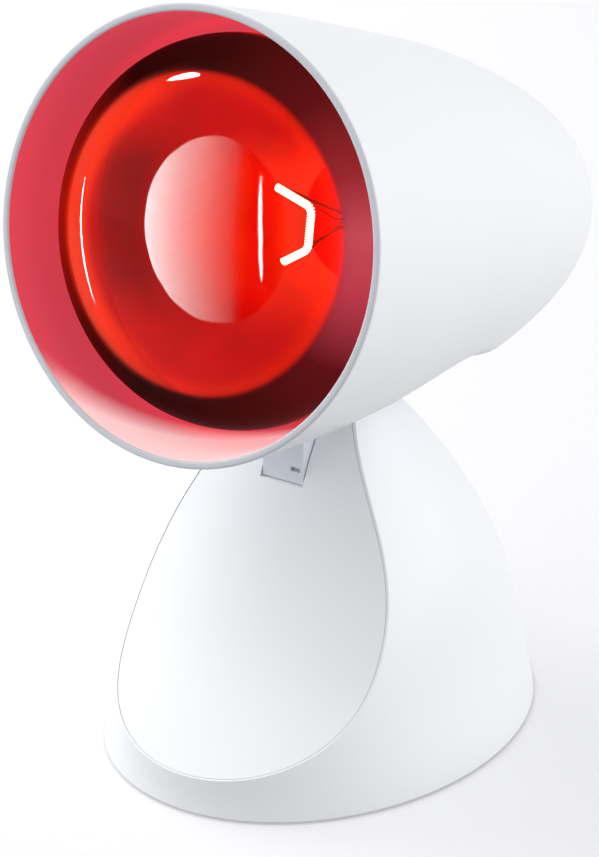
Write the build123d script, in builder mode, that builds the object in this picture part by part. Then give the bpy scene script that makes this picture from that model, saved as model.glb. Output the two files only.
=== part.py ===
from build123d import *
import os
from math import cos, radians, sin, sqrt

# Table-top infrared heat lamp: a bullet-shaped head with an R95 reflector bulb, tilting on a domed stand.
# Units are millimetres.  +Z is up, the lamp faces -Y, and the origin lies on the table under the middle
# of the foot.

# ---- Stand: outer form -------------------------------------------------------------------------------
foot_width = 106.2            # foot oval, side to side
foot_depth = 133.2            # foot oval, front to back
stand_height = 97.0           # table to the flat top between the cheeks
ground_gap = 0.8              # rim of the stand above the table; the rubber feet fill it
stand_wall = 2.4
far = 140.0                   # beyond every piece, for regions that cut
# share of the stand's height, then of the foot's half width and half depth
stand_form = (
    (0.0, 1.0, 1.0),
    (0.165, 0.930, 0.964),
    (0.34, 0.842, 0.913),
    (0.495, 0.759, 0.803),
    (0.64, 0.644, 0.659),
    (0.785, 0.490, 0.490),
    (0.907, 0.331, 0.318),
    (1.0, 0.181, 0.171),
)

# ---- Front cover: a gently barrelled panel that cuts the dome in an egg-shaped seam --------------------
panel_centre_y = 78.0         # vertical axis that the panel's face is turned about
panel_face = (
    (-67.3, 8.0),
    (-52.3, 18.0),
    (-42.2, 28.0),
    (-34.2, 40.0),
    (-24.4, 60.0),
    (-15.6, 80.0),
    (3.3, 99.0),
)
cover_wall = 2.4              # measured along Y
cover_rim = 0.4               # edge of the shell that stays visible round the cover
seam_gap = 0.15               # open joint line between cover and shell
cover_ledge = 1.8             # thickness of the shell's ledge behind the cover
cover_ledge_width = 5.0
notch_width = 13.2
notch_floor = 72.6
notch_corner = 1.0

# ---- Head: outer form ----------------------------------------------------------------------------------
head_length = 166.2
head_wall = 1.9
rim_rounding = 0.6
mouth_y = -58.6               # centre of the mouth
mouth_z = 149.3
head_pitch = 12.0             # the mouth looks up by this many degrees
# share of the head's length, then of the rim radius
head_form = (
    (0.0, 1.0),
    (0.18, 0.963),
    (0.36, 0.900),
    (0.54, 0.832),
    (0.71, 0.722),
    (0.855, 0.580),
    (0.945, 0.425),
)
cap_seam = 151.0              # where the rear vent cap starts, from the mouth
cap_gap = 0.3
cap_lip_length = 3.0
cap_lip_wall = 1.4
cap_lip_gap = 0.15            # lip to the inside of the head
cap_lip_overlap = 1.0         # lip behind the seam
cap_root_length = 1.2         # ring that joins the lip to the cap's wall
vent_slot_width = 2.4
vent_slot_pitch = 5.2
vent_slots = 7
vent_field_radius = 20.5

# ---- Tilt joint ----------------------------------------------------------------------------------------
pivot_y = 8.0
pivot_z = 54.0
scoop_radius = 50.0           # hollow in the head's belly, turned about the pivot
scoop_rounding = 7.0          # of the edge where that hollow meets the bullet
tilt_step = 8.0               # five settings, the first with the arm on the floor of the notch
tilt_steps = 4
arm_side_gap = 0.3            # arm to cheek
arm_front_y = -18.0           # upright front face of the arm, seen in the notch
arm_stop_gap = 0.25           # arm to the floor of the notch
arm_sole_length = 5.0         # of the level underside behind the arm's face
arm_boss_blend = 0.6          # the arm's edges meet its boss this far inside its rim
arm_recess_x = 3.75           # small release slot in the arm's face
arm_recess_z = 76.6
arm_recess_width = 2.9
arm_recess_height = 1.2
arm_recess_depth = 1.5
arm_back = 8.0                # back edge of the arm, behind the pivot
arm_boss_radius = 12.0
arm_root_front = 10.0         # the root that passes into the head, ahead of the pivot
arm_seat_gap = 0.3            # arm to the head's scoop
arm_flange_wall = 1.8
arm_flange_width = 26.0
arm_flange_front = 12.0       # degrees ahead of the upright through the pivot
arm_flange_back = 36.0
arm_screw_edge = 3.2          # screws to the sides of the flange
arm_screw_turn = 5.0          # degrees from the screws to the ends of the flange
root_overlap = 9.8            # the root starts this far inside the scoop's radius
root_stand_out = 5.0          # and is drawn this far outside it
ratchet_notch = 0.7
ratchet_side = 0.5            # notches to the edges of the spring
ratchet_gap = 0.3             # nose of the leaf spring to the arm's boss
spring_width = 7.0
spring_wall = 0.5
spring_bar_back = 18.0        # back of the bar that carries the leaf spring, behind the pivot
spring_bar_depth = 9.0
spring_bar_drop = 15.2        # top of the bar below the pivot
spring_bar_wall = 3.6
spring_end_gap = 0.5          # end of the leaf spring to the edge of its bar
spring_bend = 6.5             # where the leaf leaves the bar, behind the pivot
spring_nose_length = 1.2
spring_nose_height = 0.9
cheek_wall = 3.0
cheek_front = 19.0
cheek_back = 18.0
chassis_gap = 0.3             # chassis to the shell and to the ledge
chassis_foot_width = 9.0
chassis_foot_wall = 2.4
chassis_window_length = 20.0  # opening for the wires in each cheek
chassis_window_height = 14.0
chassis_window_z = 18.0
chassis_window_corner = 3.0
chassis_screw_inset = 5.0
bolt_radius = 3.0
bolt_running_gap = 0.05
bolt_head_radius = 5.4
bolt_head_height = 3.2
bolt_head_rounding = 1.2
bolt_socket_radius = 2.4
bolt_socket_depth = 1.8
bolt_stand_out = 1.5          # bolt beyond its nut
nut_width = 10.0
nut_height = 5.0
washer_radius = 8.0
washer_wall = 0.4
washer_gap = 0.2              # washer to the floor of its pocket in the arm
washer_pocket_gap = 0.4       # rim of the washer to the wall of its pocket
slot_back_floor = 73.0        # rear end of the slot over the stand's top

# ---- Bulb (R95, E27) -----------------------------------------------------------------------------------
bulb_radius = 47.5
mouth_clearance = 6.8         # free ring between the bulb and the rim
rim_radius = bulb_radius + mouth_clearance
# distance from the belly, then share of the bulb's radius
bulb_form = (
    (-14.2, 0.905),
    (0.0, 1.0),
    (11.5, 0.95),
    (23.0, 0.79),
    (35.0, 0.585),
    (48.0, 0.44),
    (62.0, 0.377),
)
bulb_crown_rise = 2.2         # the flat crown's fall at half its radius
bulb_front = 0.8              # glass apex behind the rim plane
bulb_belly = 22.0             # widest place behind the rim plane
bulb_neck_radius = 17.0
bulb_neck_end = 106.0
neck_taper_length = 6.0       # the neck draws in to the screw cap over this length
glass_wall = 0.9
mirror_wall = 0.25
mirror_gap = 0.05             # glass to its silvering
mirror_front = 28.0           # behind the rim plane
mirror_back = 78.0
screw_cap_radius = 13.2
screw_cap_length = 25.0
screw_cap_wall = 0.5
screw_cap_lap = 1.5           # the cap starts this far over the neck
cap_shoulder = 3.0            # length of the cap's coned end
cap_end_radius = 9.5
cap_button_radius = 4.8
cap_button_rounding = 0.9
cap_insulator_length = 4.0
cap_button_length = 1.6
stem_radius = 6.0
stem_length = 34.0
stem_tip_length = 9.0
stem_flare_length = 5.0
stem_gap = 0.2                # flared end of the stem to the cap
filament_depth = 46.0         # plane of the filament, behind the rim plane
filament_hang = ((-6.0, 8.6), (4.8, 5.4), (5.2, -5.0), (-1.6, -9.4))   # across and up from the axis
filament_bend = 2.2
filament_radius = 0.9
lead_radius = 0.5
lead_spacing = 2.0            # of each lead from the axis, where they leave the stem
lead_straight = 6.0
support_radius = 0.25

# ---- Lampholder ----------------------------------------------------------------------------------------
holder_radius = 18.6
holder_front = 108.5
holder_floor = 6.5
holder_sleeve_wall = 0.5
sleeve_gap = 0.35
bracket_wall = 1.5
bracket_gap = 0.5             # bracket to the wall of the head
bracket_screw_edge = 3.9      # bracket's screws to its rim
sleeve_length = 23.0
sleeve_seat_gap = 0.05        # sleeve to the holder's bore
bracket_angles = (30, 150, 270)
bracket_boss_length = 15.0
bracket_web_wall = 2.4
bracket_web_reach = 14.0
bracket_vent_length = 16.0
bracket_vent_width = 6.0
bracket_vent_place = 0.66     # of the bracket's radius
holder_play = 0.4             # bulb's button to the floor of the holder
holder_chamfer_start = 12.0
holder_chamfer_length = 2.0
holder_chamfer = 1.2
holder_back_taper = 2.2
holder_screw_x = 9.0
holder_screw_cover = 1.5      # floor left over the holder's screw holes
contact_radius = 3.6
contact_wall = 0.35

# ---- Base, feet, electrics -----------------------------------------------------------------------------
base_wall = 2.4
base_lift = 1.6               # underside of the base plate above the table
base_gap = 0.4
base_draft = 0.8              # the stand's wall leans in by this much over the plate's height
base_rim_inset = 5.0
base_rim_wall = 1.6
base_rim_height = 2.0
base_chamfer = 0.5
boss_clearance = 1.0          # rim of the base plate round each boss
foot_pad_radius = 6.5
foot_pad_recess = 0.6
foot_pad_gap = 0.15
foot_pad_rounding = 0.6
foot_pad_side = 21.1          # middle of each rubber foot to the side of the stand's foot
foot_pad_end = 31.6           # and to its end
boss_radius = 4.2
boss_insets = ((29.1, 19.6), (13.1, 86.6))    # from the side and the back of the foot, on each side
screw_radius = 1.5
screw_length = 11.0
screw_head_radius = 2.9
base_screw_head = 1.1
base_screw_recess = 1.2
screw_recess_gap = 0.3
screw_hole_gap = 0.25
bracket_screw_head = 2.0
small_screw_radius = 1.1
small_head_radius = 2.1
chassis_screw_cover = 0.4     # wall of the base plate left under the chassis' screws
screw_gap = 0.05
screw_tip_gap = 0.5
arm_screw_cover = 0.3         # wall of the scoop left over the tips of the arm's screws
small_head_height = 1.4
inlet_z = 12.0
inlet_bore_radius = 3.6
grommet_wall = 1.5
grommet_gap = 0.05
grommet_flange = 2.2
grommet_flange_wall = 1.8
grommet_rounding = 0.8
grommet_stand_off = 0.4       # flange ahead of the crown of the curved wall
grommet_barb = 0.9
grommet_barb_wall = 1.3
switch_z = 34.0
bezel_width = 21.0
bezel_height = 15.0
bezel_wall = 1.6
bezel_corner = 1.0
bezel_rounding = 0.5
switch_body_width = 18.8
switch_body_height = 12.8
switch_body_depth = 13.0
switch_body_floor = 2.0
switch_fit = 0.2
switch_seat = 1.2             # flat seat for the bezel, below the crown of the shell
seat_margin = 2.0             # thickened wall beyond the bezel
seat_gap = 0.6
spade_spacing = 9.0
spade_width = 4.8
spade_wall = 0.8
spade_length = 7.0
rocker_width = 16.6
rocker_height = 11.0
rocker_rise = 1.3             # rocker's raised ends above the bezel
rocker_dip = 0.4
rocker_keel = 4.5
rocker_keel_width = 6.0
rocker_pin_drop = 2.2         # rocker's pin below the face of the seat
rocker_gap = 0.55
rocker_tilt = 6.0             # degrees each way from level
terminal_width = 22.0
terminal_depth = 12.0
terminal_height = 11.0
terminal_inset = 27.6         # middle of the terminal block to the back of the foot
terminal_rounding = 1.0
terminal_pitch_x = 7.0
terminal_pitch_y = 6.0
terminal_hole_radius = 1.7
terminal_hole_depth = 3.0


def share_points(form, length, radius):
    """Scale a list of (share of length, share of radius) to millimetres."""
    return [(a * length, b * radius) for a, b in form]


# ---- Planes and axes of the head -----------------------------------------------------------------------
pitch_cos = cos(radians(head_pitch))
pitch_sin = sin(radians(head_pitch))
mouth_centre = Vector(0, mouth_y, mouth_z)
head_back = Vector(0, pitch_cos, -pitch_sin)
head_side = Plane(origin=mouth_centre, x_dir=head_back, z_dir=(1, 0, 0))
head_axis = Axis(mouth_centre, head_back)
pivot_axis = Axis((0, pivot_y, pivot_z), (1, 0, 0))


def head_cross(distance):
    """Plane across the head's axis, facing the mouth, at a distance behind the rim plane."""
    return Plane(origin=mouth_centre + head_back * distance, x_dir=(1, 0, 0), z_dir=head_back * -1)


# ---- Shared forms --------------------------------------------------------------------------------------
def stand_dome(inset, bottom):
    """The stand's dome, drawn in by inset all round and cut off at bottom."""
    with BuildPart() as dome:
        for level, width, depth in stand_form:
            height = level * (stand_height - inset)
            with BuildSketch(Plane.XY.offset(height)):
                Ellipse(width * foot_width / 2 - inset, depth * foot_depth / 2 - inset)
        loft()
        split(bisect_by=Plane.XY.offset(bottom), keep=Keep.TOP)
    return dome.part


def ahead_of_panel(back):
    """Everything ahead of the panel's face, moved back by a distance along Y."""
    with BuildPart() as region:
        with BuildSketch(Plane.YZ):
            with BuildLine():
                low_y, low_z = panel_face[0]
                high_y, high_z = panel_face[-1]
                face_points = [(y + back, z) for y, z in panel_face]
                curve = Spline(*face_points)
                Line(curve @ 1, (high_y + back, stand_height + far))
                Line((high_y + back, stand_height + far), (-far, stand_height + far))
                Line((-far, stand_height + far), (-far, low_z))
                Line((-far, low_z), curve @ 0)
            make_face()
        revolve(axis=Axis((0, panel_centre_y, 0), (0, 0, 1)))
    return region.part


def head_solid(inset):
    """The head's bullet, drawn in by inset."""
    length = head_length - inset
    points = [(along, radius - inset) for along, radius in share_points(head_form, head_length, rim_radius)]
    with BuildPart() as bullet:
        with BuildSketch(head_side):
            with BuildLine():
                curve = Spline(*points, (length, 0), tangents=((1, -0.05), (0, -1)))
                Line(curve @ 1, (0, 0))
                Line((0, 0), curve @ 0)
            make_face()
        revolve(axis=head_axis)
    return bullet.part


def around_pivot(radius):
    """A full-width cylinder about the tilt pivot."""
    with BuildPart() as drum:
        with BuildSketch(Plane.YZ):
            with Locations((pivot_y, pivot_z)):
                Circle(radius)
        extrude(amount=foot_width, both=True)
    return drum.part


def scooped_head(inset):
    """The head's bullet with the hollow in its belly, both drawn in by inset."""
    with BuildPart() as bullet:
        add(head_solid(inset))
        add(around_pivot(scoop_radius + inset), mode=Mode.SUBTRACT)
        scoop_face = bullet.faces().filter_by(GeomType.CYLINDER)[0]
        fillet(scoop_face.edges(), scoop_rounding - inset)
    return bullet.part


def hollow_radius(distance):
    """Radius of the head's hollow at a distance behind the rim plane."""
    cut = head_solid(head_wall) & head_cross(distance) * Box(far, far, 0.02)
    return cut.bounding_box().max.X


def bulb_solid(inset):
    """The bulb's glass form, drawn in by inset, from its apex to the end of the neck."""
    front = bulb_front + inset
    crown = [(front, 0), (front + bulb_crown_rise, 0.5 * bulb_radius)]
    bowl = [(bulb_belly + along, share * bulb_radius - inset) for along, share in bulb_form]
    neck_start = (bulb_neck_end - neck_taper_length, bulb_neck_radius - inset)
    with BuildPart() as bulb:
        with BuildSketch(head_side):
            with BuildLine():
                curve = Spline(*crown, *bowl, neck_start, tangents=((0, 1), (1, -0.03)))
                neck = Line(curve @ 1, (bulb_neck_end, screw_cap_radius - screw_cap_wall - inset))
                Line(neck @ 1, (bulb_neck_end, 0))
                Line((bulb_neck_end, 0), curve @ 0)
            make_face()
        revolve(axis=head_axis)
    return bulb.part


def head_slice(start, end, radius):
    """A round plug on the head's axis, between two distances behind the rim plane."""
    with BuildPart() as plug:
        with BuildSketch(head_cross(end)):
            Circle(radius)
        extrude(amount=end - start)
    return plug.part


def screw(plane, head_radius, head_height, shank_radius, length):
    """A pan-head screw: its head stands on the plane, its shank runs the other way."""
    with BuildPart() as fastener:
        with BuildSketch(plane):
            Circle(head_radius)
        extrude(amount=head_height)
        fillet(fastener.edges().sort_by(Axis(plane.origin, plane.z_dir))[-1], 0.4 * head_height)
        with BuildSketch(plane):
            Circle(shank_radius)
        extrude(amount=-length)
        with BuildSketch(plane.offset(head_height)):
            RectangleRounded(1.3 * head_radius, 0.3 * head_radius, 0.14 * head_radius)
            RectangleRounded(0.3 * head_radius, 1.3 * head_radius, 0.14 * head_radius)
        extrude(amount=-0.5 * head_height, mode=Mode.SUBTRACT)
    return fastener.part


def save(piece, name):
    """Label a finished piece and write it under its own name."""
    piece.part.label = name
    export_step(piece.part, f"parts/{name}.step")


os.makedirs("parts", exist_ok=True)
arm_width = notch_width - 2 * arm_side_gap
cheek_inner = notch_width / 2
bar_top = pivot_z - spring_bar_drop
spring_screw_y = pivot_y + spring_bar_back - spring_bar_depth / 2

# ==== STAND =============================================================================================
dome_outside = stand_dome(0, ground_gap)
dome_inside = stand_dome(stand_wall, 0)
behind_cover = cover_wall + seam_gap
base_top = base_lift + base_wall

dome_mid_wall = stand_dome(0.5 * stand_wall, 0)   # ribs and bosses end inside the wall

with BuildPart() as cover_ledge_ring:
    add(dome_mid_wall)
    add(ahead_of_panel(behind_cover + cover_ledge), mode=Mode.INTERSECT)
    add(stand_dome(stand_wall + cover_ledge_width, 0), mode=Mode.SUBTRACT)

with BuildPart() as cover_pocket:
    add(stand_dome(cover_rim, 0))
    add(ahead_of_panel(behind_cover), mode=Mode.INTERSECT)

boss_points = [(foot_width / 2 - x, foot_depth / 2 - y) for x, y in boss_insets]
boss_places = [(side * x, y) for x, y in boss_points for side in (1, -1)]
with BuildPart() as base_bosses:
    with BuildSketch(Plane.XY.offset(base_top)):
        with Locations(*boss_places):
            Circle(boss_radius)
    extrude(amount=stand_height)
    add(dome_mid_wall, mode=Mode.INTERSECT)


def rear_wall_y(height):
    """How far back the outside of the stand reaches at a height, on the middle plane."""
    cut = dome_outside & Plane.XY.offset(height) * Box(1, 4 * foot_depth, 0.02)
    return cut.bounding_box().max.Y


switch_rise = 3.0
switch_slope_y = rear_wall_y(switch_z + switch_rise) - rear_wall_y(switch_z - switch_rise)
switch_normal = Vector(0, 2 * switch_rise, -switch_slope_y).normalized()
switch_crown = Vector(0, rear_wall_y(switch_z), switch_z)
switch_plane = Plane(origin=switch_crown - switch_normal * switch_seat, x_dir=(-1, 0, 0), z_dir=switch_normal)
inlet_crown = rear_wall_y(inlet_z)
inlet_plane = Plane(origin=(0, inlet_crown, inlet_z), x_dir=(-1, 0, 0), z_dir=(0, 1, 0))

with BuildPart() as stand_rear_shell:
    add(dome_outside)
    add(dome_inside, mode=Mode.SUBTRACT)
    add(cover_ledge_ring.part)
    add(base_bosses.part)
    add(ahead_of_panel(0), mode=Mode.SUBTRACT)
    add(cover_pocket.part, mode=Mode.SUBTRACT)
    # the slot that the arm swings in
    with BuildSketch(Plane.YZ):
        with BuildLine():
            Polyline(
                (-foot_depth, notch_floor),
                (pivot_y, notch_floor),
                (pivot_y, slot_back_floor),
                (foot_depth, slot_back_floor),
                (foot_depth, 2 * stand_height),
                (-foot_depth, 2 * stand_height),
                close=True,
            )
        make_face()
    extrude(amount=notch_width / 2, both=True, mode=Mode.SUBTRACT)
    # pilot holes for the base screws
    with BuildSketch(Plane.XY.offset(base_top)):
        with Locations(*boss_places):
            Circle(screw_radius + screw_gap)
    extrude(amount=screw_length, mode=Mode.SUBTRACT)
    # flat seat and cut-out for the rocker switch
    with BuildSketch(switch_plane.offset(-stand_wall)):
        RectangleRounded(bezel_width + 2 * seat_margin, bezel_height + 2 * seat_margin, bezel_corner)
    extrude(amount=stand_wall + switch_seat)
    add(dome_outside, mode=Mode.INTERSECT)
    with BuildSketch(switch_plane):
        RectangleRounded(bezel_width + 2 * seat_gap, bezel_height + 2 * seat_gap, bezel_corner + seat_gap)
    extrude(amount=2 * switch_seat, mode=Mode.SUBTRACT)
    with BuildSketch(switch_plane):
        Rectangle(switch_body_width + 2 * switch_fit, switch_body_height + 2 * switch_fit)
    extrude(amount=-3 * stand_wall, mode=Mode.SUBTRACT)
    # hole for the cord inlet
    with BuildSketch(inlet_plane.offset(-4 * stand_wall)):
        Circle(inlet_bore_radius + grommet_wall + grommet_gap)
    extrude(amount=6 * stand_wall, mode=Mode.SUBTRACT)
save(stand_rear_shell, "stand_rear_shell")

with BuildPart() as stand_front_cover:
    add(stand_dome(cover_rim + seam_gap, ground_gap))
    add(ahead_of_panel(0), mode=Mode.SUBTRACT)
    add(ahead_of_panel(cover_wall), mode=Mode.INTERSECT)
    with BuildSketch(Plane.XZ.offset(-foot_depth)):
        with Locations((0, notch_floor)):
            Rectangle(notch_width, stand_height, align=(Align.CENTER, Align.MIN))
    extrude(amount=2 * foot_depth, mode=Mode.SUBTRACT)
save(stand_front_cover, "stand_front_cover")

# ---- Chassis: two cheeks on the base plate that carry the pivot ----------------------------------------
chassis_screw_x = cheek_inner + cheek_wall + 0.5 * chassis_foot_width
chassis_screw_ends = (pivot_y - cheek_front + chassis_screw_inset, pivot_y + cheek_back - chassis_screw_inset)
chassis_screw_places = [(side * chassis_screw_x, y) for y in chassis_screw_ends for side in (1, -1)]
with BuildPart() as pivot_chassis:
    with BuildSketch(Plane.YZ.offset(cheek_inner)):
        with Locations((pivot_y - cheek_front, base_top)):
            Rectangle(cheek_front + cheek_back, stand_height, align=(Align.MIN, Align.MIN))
        with Locations((pivot_y, chassis_window_z)):
            RectangleRounded(
                chassis_window_length, chassis_window_height, chassis_window_corner, mode=Mode.SUBTRACT
            )
    extrude(amount=cheek_wall)
    with BuildSketch(Plane.XY.offset(base_top)):
        with Locations((cheek_inner, pivot_y - cheek_front)):
            foot_length = cheek_front + cheek_back
            Rectangle(cheek_wall + chassis_foot_width, foot_length, align=(Align.MIN, Align.MIN))
    extrude(amount=chassis_foot_wall)
    mirror(about=Plane.YZ)
    # the bar between the cheeks that carries the leaf spring
    with BuildSketch(Plane.YZ):
        with Locations((pivot_y + spring_bar_back, bar_top)):
            Rectangle(spring_bar_depth, spring_bar_wall, align=(Align.MAX, Align.MAX))
    extrude(amount=cheek_inner + 0.5 * cheek_wall, both=True)
    add(stand_dome(stand_wall + chassis_gap, 0), mode=Mode.INTERSECT)
    add(ahead_of_panel(behind_cover + cover_ledge + chassis_gap), mode=Mode.SUBTRACT)
    # holes for the pivot, the spring's screw and the screws into the base plate
    with BuildSketch(Plane.YZ):
        with Locations((pivot_y, pivot_z)):
            Circle(bolt_radius + bolt_running_gap)
    extrude(amount=cheek_inner + 2 * cheek_wall, both=True, mode=Mode.SUBTRACT)
    with BuildSketch(Plane.XY.offset(bar_top)):
        with Locations((0, spring_screw_y)):
            Circle(small_screw_radius + screw_gap)
    extrude(amount=-2 * spring_bar_wall, mode=Mode.SUBTRACT)
    with BuildSketch(Plane.XY.offset(base_top)):
        with Locations(*chassis_screw_places):
            Circle(small_screw_radius + screw_hole_gap)
    extrude(amount=chassis_foot_wall, mode=Mode.SUBTRACT)
save(pivot_chassis, "pivot_chassis")

with BuildPart() as chassis_screws:
    for x, y in chassis_screw_places:
        seat = Plane(origin=(x, y, base_top + chassis_foot_wall), x_dir=(1, 0, 0), z_dir=(0, 0, 1))
        length = chassis_foot_wall + base_wall - chassis_screw_cover - screw_tip_gap
        add(screw(seat, small_head_radius, small_head_height, small_screw_radius, length))
save(chassis_screws, "chassis_screws")

with BuildPart() as base_plate:
    with BuildSketch(Plane.XY.offset(base_lift)):
        inset = stand_wall + base_gap + base_draft
        Ellipse(foot_width / 2 - inset, foot_depth / 2 - inset)
    extrude(amount=base_wall)
    chamfer(base_plate.edges().group_by(Axis.Z)[0], base_chamfer)
    # stiffening rim and cross ribs
    with BuildSketch(Plane.XY.offset(base_top)):
        rim_x = foot_width / 2 - inset - base_rim_inset
        rim_y = foot_depth / 2 - inset - base_rim_inset
        Ellipse(rim_x, rim_y)
        Ellipse(rim_x - base_rim_wall, rim_y - base_rim_wall, mode=Mode.SUBTRACT)
    extrude(amount=base_rim_height)
    with BuildSketch(Plane.XY.offset(base_top)):
        with Locations(*boss_places):
            Circle(boss_radius + boss_clearance)
    extrude(amount=base_rim_height, mode=Mode.SUBTRACT)
    # screw holes with countersinks, and recesses for the rubber feet
    with Locations(*[(x, y, base_lift) for x, y in boss_places]):
        Hole(screw_radius + screw_hole_gap)
    with BuildSketch(Plane.XY.offset(base_lift)):
        with Locations(*boss_places):
            Circle(screw_head_radius + screw_recess_gap)
    extrude(amount=base_screw_recess, mode=Mode.SUBTRACT)
    foot_pad_x = foot_width / 2 - foot_pad_side
    foot_pad_y = foot_depth / 2 - foot_pad_end
    foot_places = [(x, y) for x in (-foot_pad_x, foot_pad_x) for y in (-foot_pad_y, foot_pad_y)]
    with BuildSketch(Plane.XY.offset(base_lift)):
        with Locations(*foot_places):
            Circle(foot_pad_radius + foot_pad_gap)
    extrude(amount=foot_pad_recess, mode=Mode.SUBTRACT)
    # pilot holes for the chassis' screws
    with BuildSketch(Plane.XY.offset(base_top)):
        with Locations(*chassis_screw_places):
            Circle(small_screw_radius + screw_gap)
    extrude(amount=-(base_wall - chassis_screw_cover), mode=Mode.SUBTRACT)
save(base_plate, "base_plate")

with BuildPart() as rubber_feet:
    with BuildSketch(Plane.XY):
        with Locations(*foot_places):
            Circle(foot_pad_radius)
    extrude(amount=base_lift + foot_pad_recess)
    fillet(rubber_feet.edges().group_by(Axis.Z)[0], foot_pad_rounding)
save(rubber_feet, "rubber_feet")

with BuildPart() as base_screws:
    for x, y in boss_places:
        seat = Plane(origin=(x, y, base_lift + base_screw_recess), x_dir=(1, 0, 0), z_dir=(0, 0, -1))
        add(screw(seat, screw_head_radius, base_screw_head, screw_radius, screw_length))
save(base_screws, "base_screws")

# ---- Cord inlet ----------------------------------------------------------------------------------------
with BuildPart() as cord_grommet:
    grommet_outer = inlet_bore_radius + grommet_wall
    grommet_inside = stand_wall + grommet_barb
    with BuildSketch(inlet_plane.offset(grommet_stand_off)):
        Circle(grommet_outer + grommet_flange)
    extrude(amount=grommet_flange_wall)
    fillet(cord_grommet.edges().group_by(Axis.Y)[-1], grommet_rounding)
    with BuildSketch(inlet_plane.offset(grommet_stand_off)):
        Circle(grommet_outer)
    extrude(amount=-(grommet_stand_off + grommet_inside + grommet_barb_wall))
    # barb behind the wall
    with BuildSketch(inlet_plane.offset(-grommet_inside)):
        Circle(grommet_outer + grommet_barb)
    extrude(amount=-grommet_barb_wall)
    with BuildSketch(inlet_plane):
        Circle(inlet_bore_radius)
    extrude(amount=foot_depth / 4, both=True, mode=Mode.SUBTRACT)
save(cord_grommet, "cord_grommet")

# ---- Rocker switch -------------------------------------------------------------------------------------
switch_out = Axis(switch_plane.origin, switch_plane.z_dir)
with BuildPart() as switch_housing:
    with BuildSketch(switch_plane):
        RectangleRounded(bezel_width, bezel_height, bezel_corner)
    extrude(amount=bezel_wall)
    fillet(switch_housing.edges().group_by(switch_out)[-1], bezel_rounding)
    with BuildSketch(switch_plane):
        Rectangle(switch_body_width, switch_body_height)
    extrude(amount=-switch_body_depth)
    with BuildSketch(switch_plane.offset(bezel_wall)):
        Rectangle(rocker_width + 2 * rocker_gap, rocker_height + 2 * rocker_gap)
    extrude(amount=-(bezel_wall + switch_body_depth - switch_body_floor), mode=Mode.SUBTRACT)
    # two spade terminals
    with BuildSketch(switch_plane.offset(-switch_body_depth)):
        with Locations((-spade_spacing / 2, 0), (spade_spacing / 2, 0)):
            Rectangle(spade_wall, spade_width)
    extrude(amount=-spade_length)
save(switch_housing, "switch_housing")

# the rocker turns about a pin along its short side, and is drawn with its end at -X pressed in
rocker_pin = switch_plane.origin - switch_plane.z_dir * rocker_pin_drop
rocker_level = Vector(cos(radians(rocker_tilt)), 0, 0) + switch_plane.z_dir * sin(radians(rocker_tilt))
rocker_side = Plane(origin=rocker_pin, x_dir=rocker_level, z_dir=switch_plane.y_dir)
with BuildPart() as switch_rocker:
    with BuildSketch(rocker_side):
        with BuildLine():
            half_width = rocker_width / 2
            top = rocker_pin_drop + bezel_wall
            face = ThreePointArc(
                (-half_width, top + rocker_rise),
                (0, top + rocker_dip),
                (half_width, top + rocker_rise),
            )
            Polyline(
                face @ 1,
                (half_width, 0),
                (rocker_keel_width / 2, -rocker_keel),
                (-rocker_keel_width / 2, -rocker_keel),
                (-half_width, 0),
                face @ 0,
            )
        make_face()
    extrude(amount=rocker_height / 2, both=True)
save(switch_rocker, "switch_rocker")

terminal_y = foot_depth / 2 - terminal_inset
with BuildPart() as terminal_block:
    with BuildSketch(Plane.XY.offset(base_top)):
        with Locations((0, terminal_y)):
            Rectangle(terminal_width, terminal_depth)
    extrude(amount=terminal_height)
    fillet(terminal_block.edges().group_by(Axis.Z)[-1], terminal_rounding)
    with BuildSketch(Plane.XY.offset(base_top + terminal_height)):
        with Locations((0, terminal_y)):
            with GridLocations(terminal_pitch_x, terminal_pitch_y, 3, 2):
                Circle(terminal_hole_radius)
    extrude(amount=-terminal_hole_depth, mode=Mode.SUBTRACT)
save(terminal_block, "terminal_block")

# ==== TILT JOINT ========================================================================================
with BuildPart() as pivot_bolt:
    reach = cheek_inner + cheek_wall
    with BuildSketch(Plane.YZ.offset(reach)):
        with Locations((pivot_y, pivot_z)):
            Circle(bolt_head_radius)
    extrude(amount=bolt_head_height)
    fillet(pivot_bolt.edges().group_by(Axis.X)[-1], bolt_head_rounding)
    with BuildSketch(Plane.YZ.offset(reach + bolt_head_height)):
        with Locations((pivot_y, pivot_z)):
            RegularPolygon(bolt_socket_radius, 6)
    extrude(amount=-bolt_socket_depth, mode=Mode.SUBTRACT)
    with BuildSketch(Plane.YZ.offset(reach)):
        with Locations((pivot_y, pivot_z)):
            Circle(bolt_radius)
    extrude(amount=-(2 * reach + nut_height + bolt_stand_out))
save(pivot_bolt, "pivot_bolt")

with BuildPart() as pivot_nut:
    with BuildSketch(Plane.YZ.offset(-reach)):
        with Locations((pivot_y, pivot_z)):
            RegularPolygon(nut_width / 2, 6, major_radius=False)
            Circle(bolt_radius, mode=Mode.SUBTRACT)
    extrude(amount=-nut_height)
save(pivot_nut, "pivot_nut")

with BuildPart() as friction_washers:
    with BuildSketch(Plane.YZ.offset(cheek_inner)):
        with Locations((pivot_y, pivot_z)):
            Circle(washer_radius)
            Circle(bolt_radius + bolt_running_gap, mode=Mode.SUBTRACT)
    extrude(amount=-washer_wall)
    mirror(about=Plane.YZ)
save(friction_washers, "friction_washers")

arm_top = pivot_z + scoop_radius
flange_low = scoop_radius + head_wall
flange_high = flange_low + arm_flange_wall
root_low = arm_top - root_overlap
root_high = arm_top + root_stand_out
arm_screw_turns = (-arm_flange_back + arm_screw_turn, arm_flange_front - arm_screw_turn)
arm_screw_x = arm_flange_width / 2 - arm_screw_edge


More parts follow.
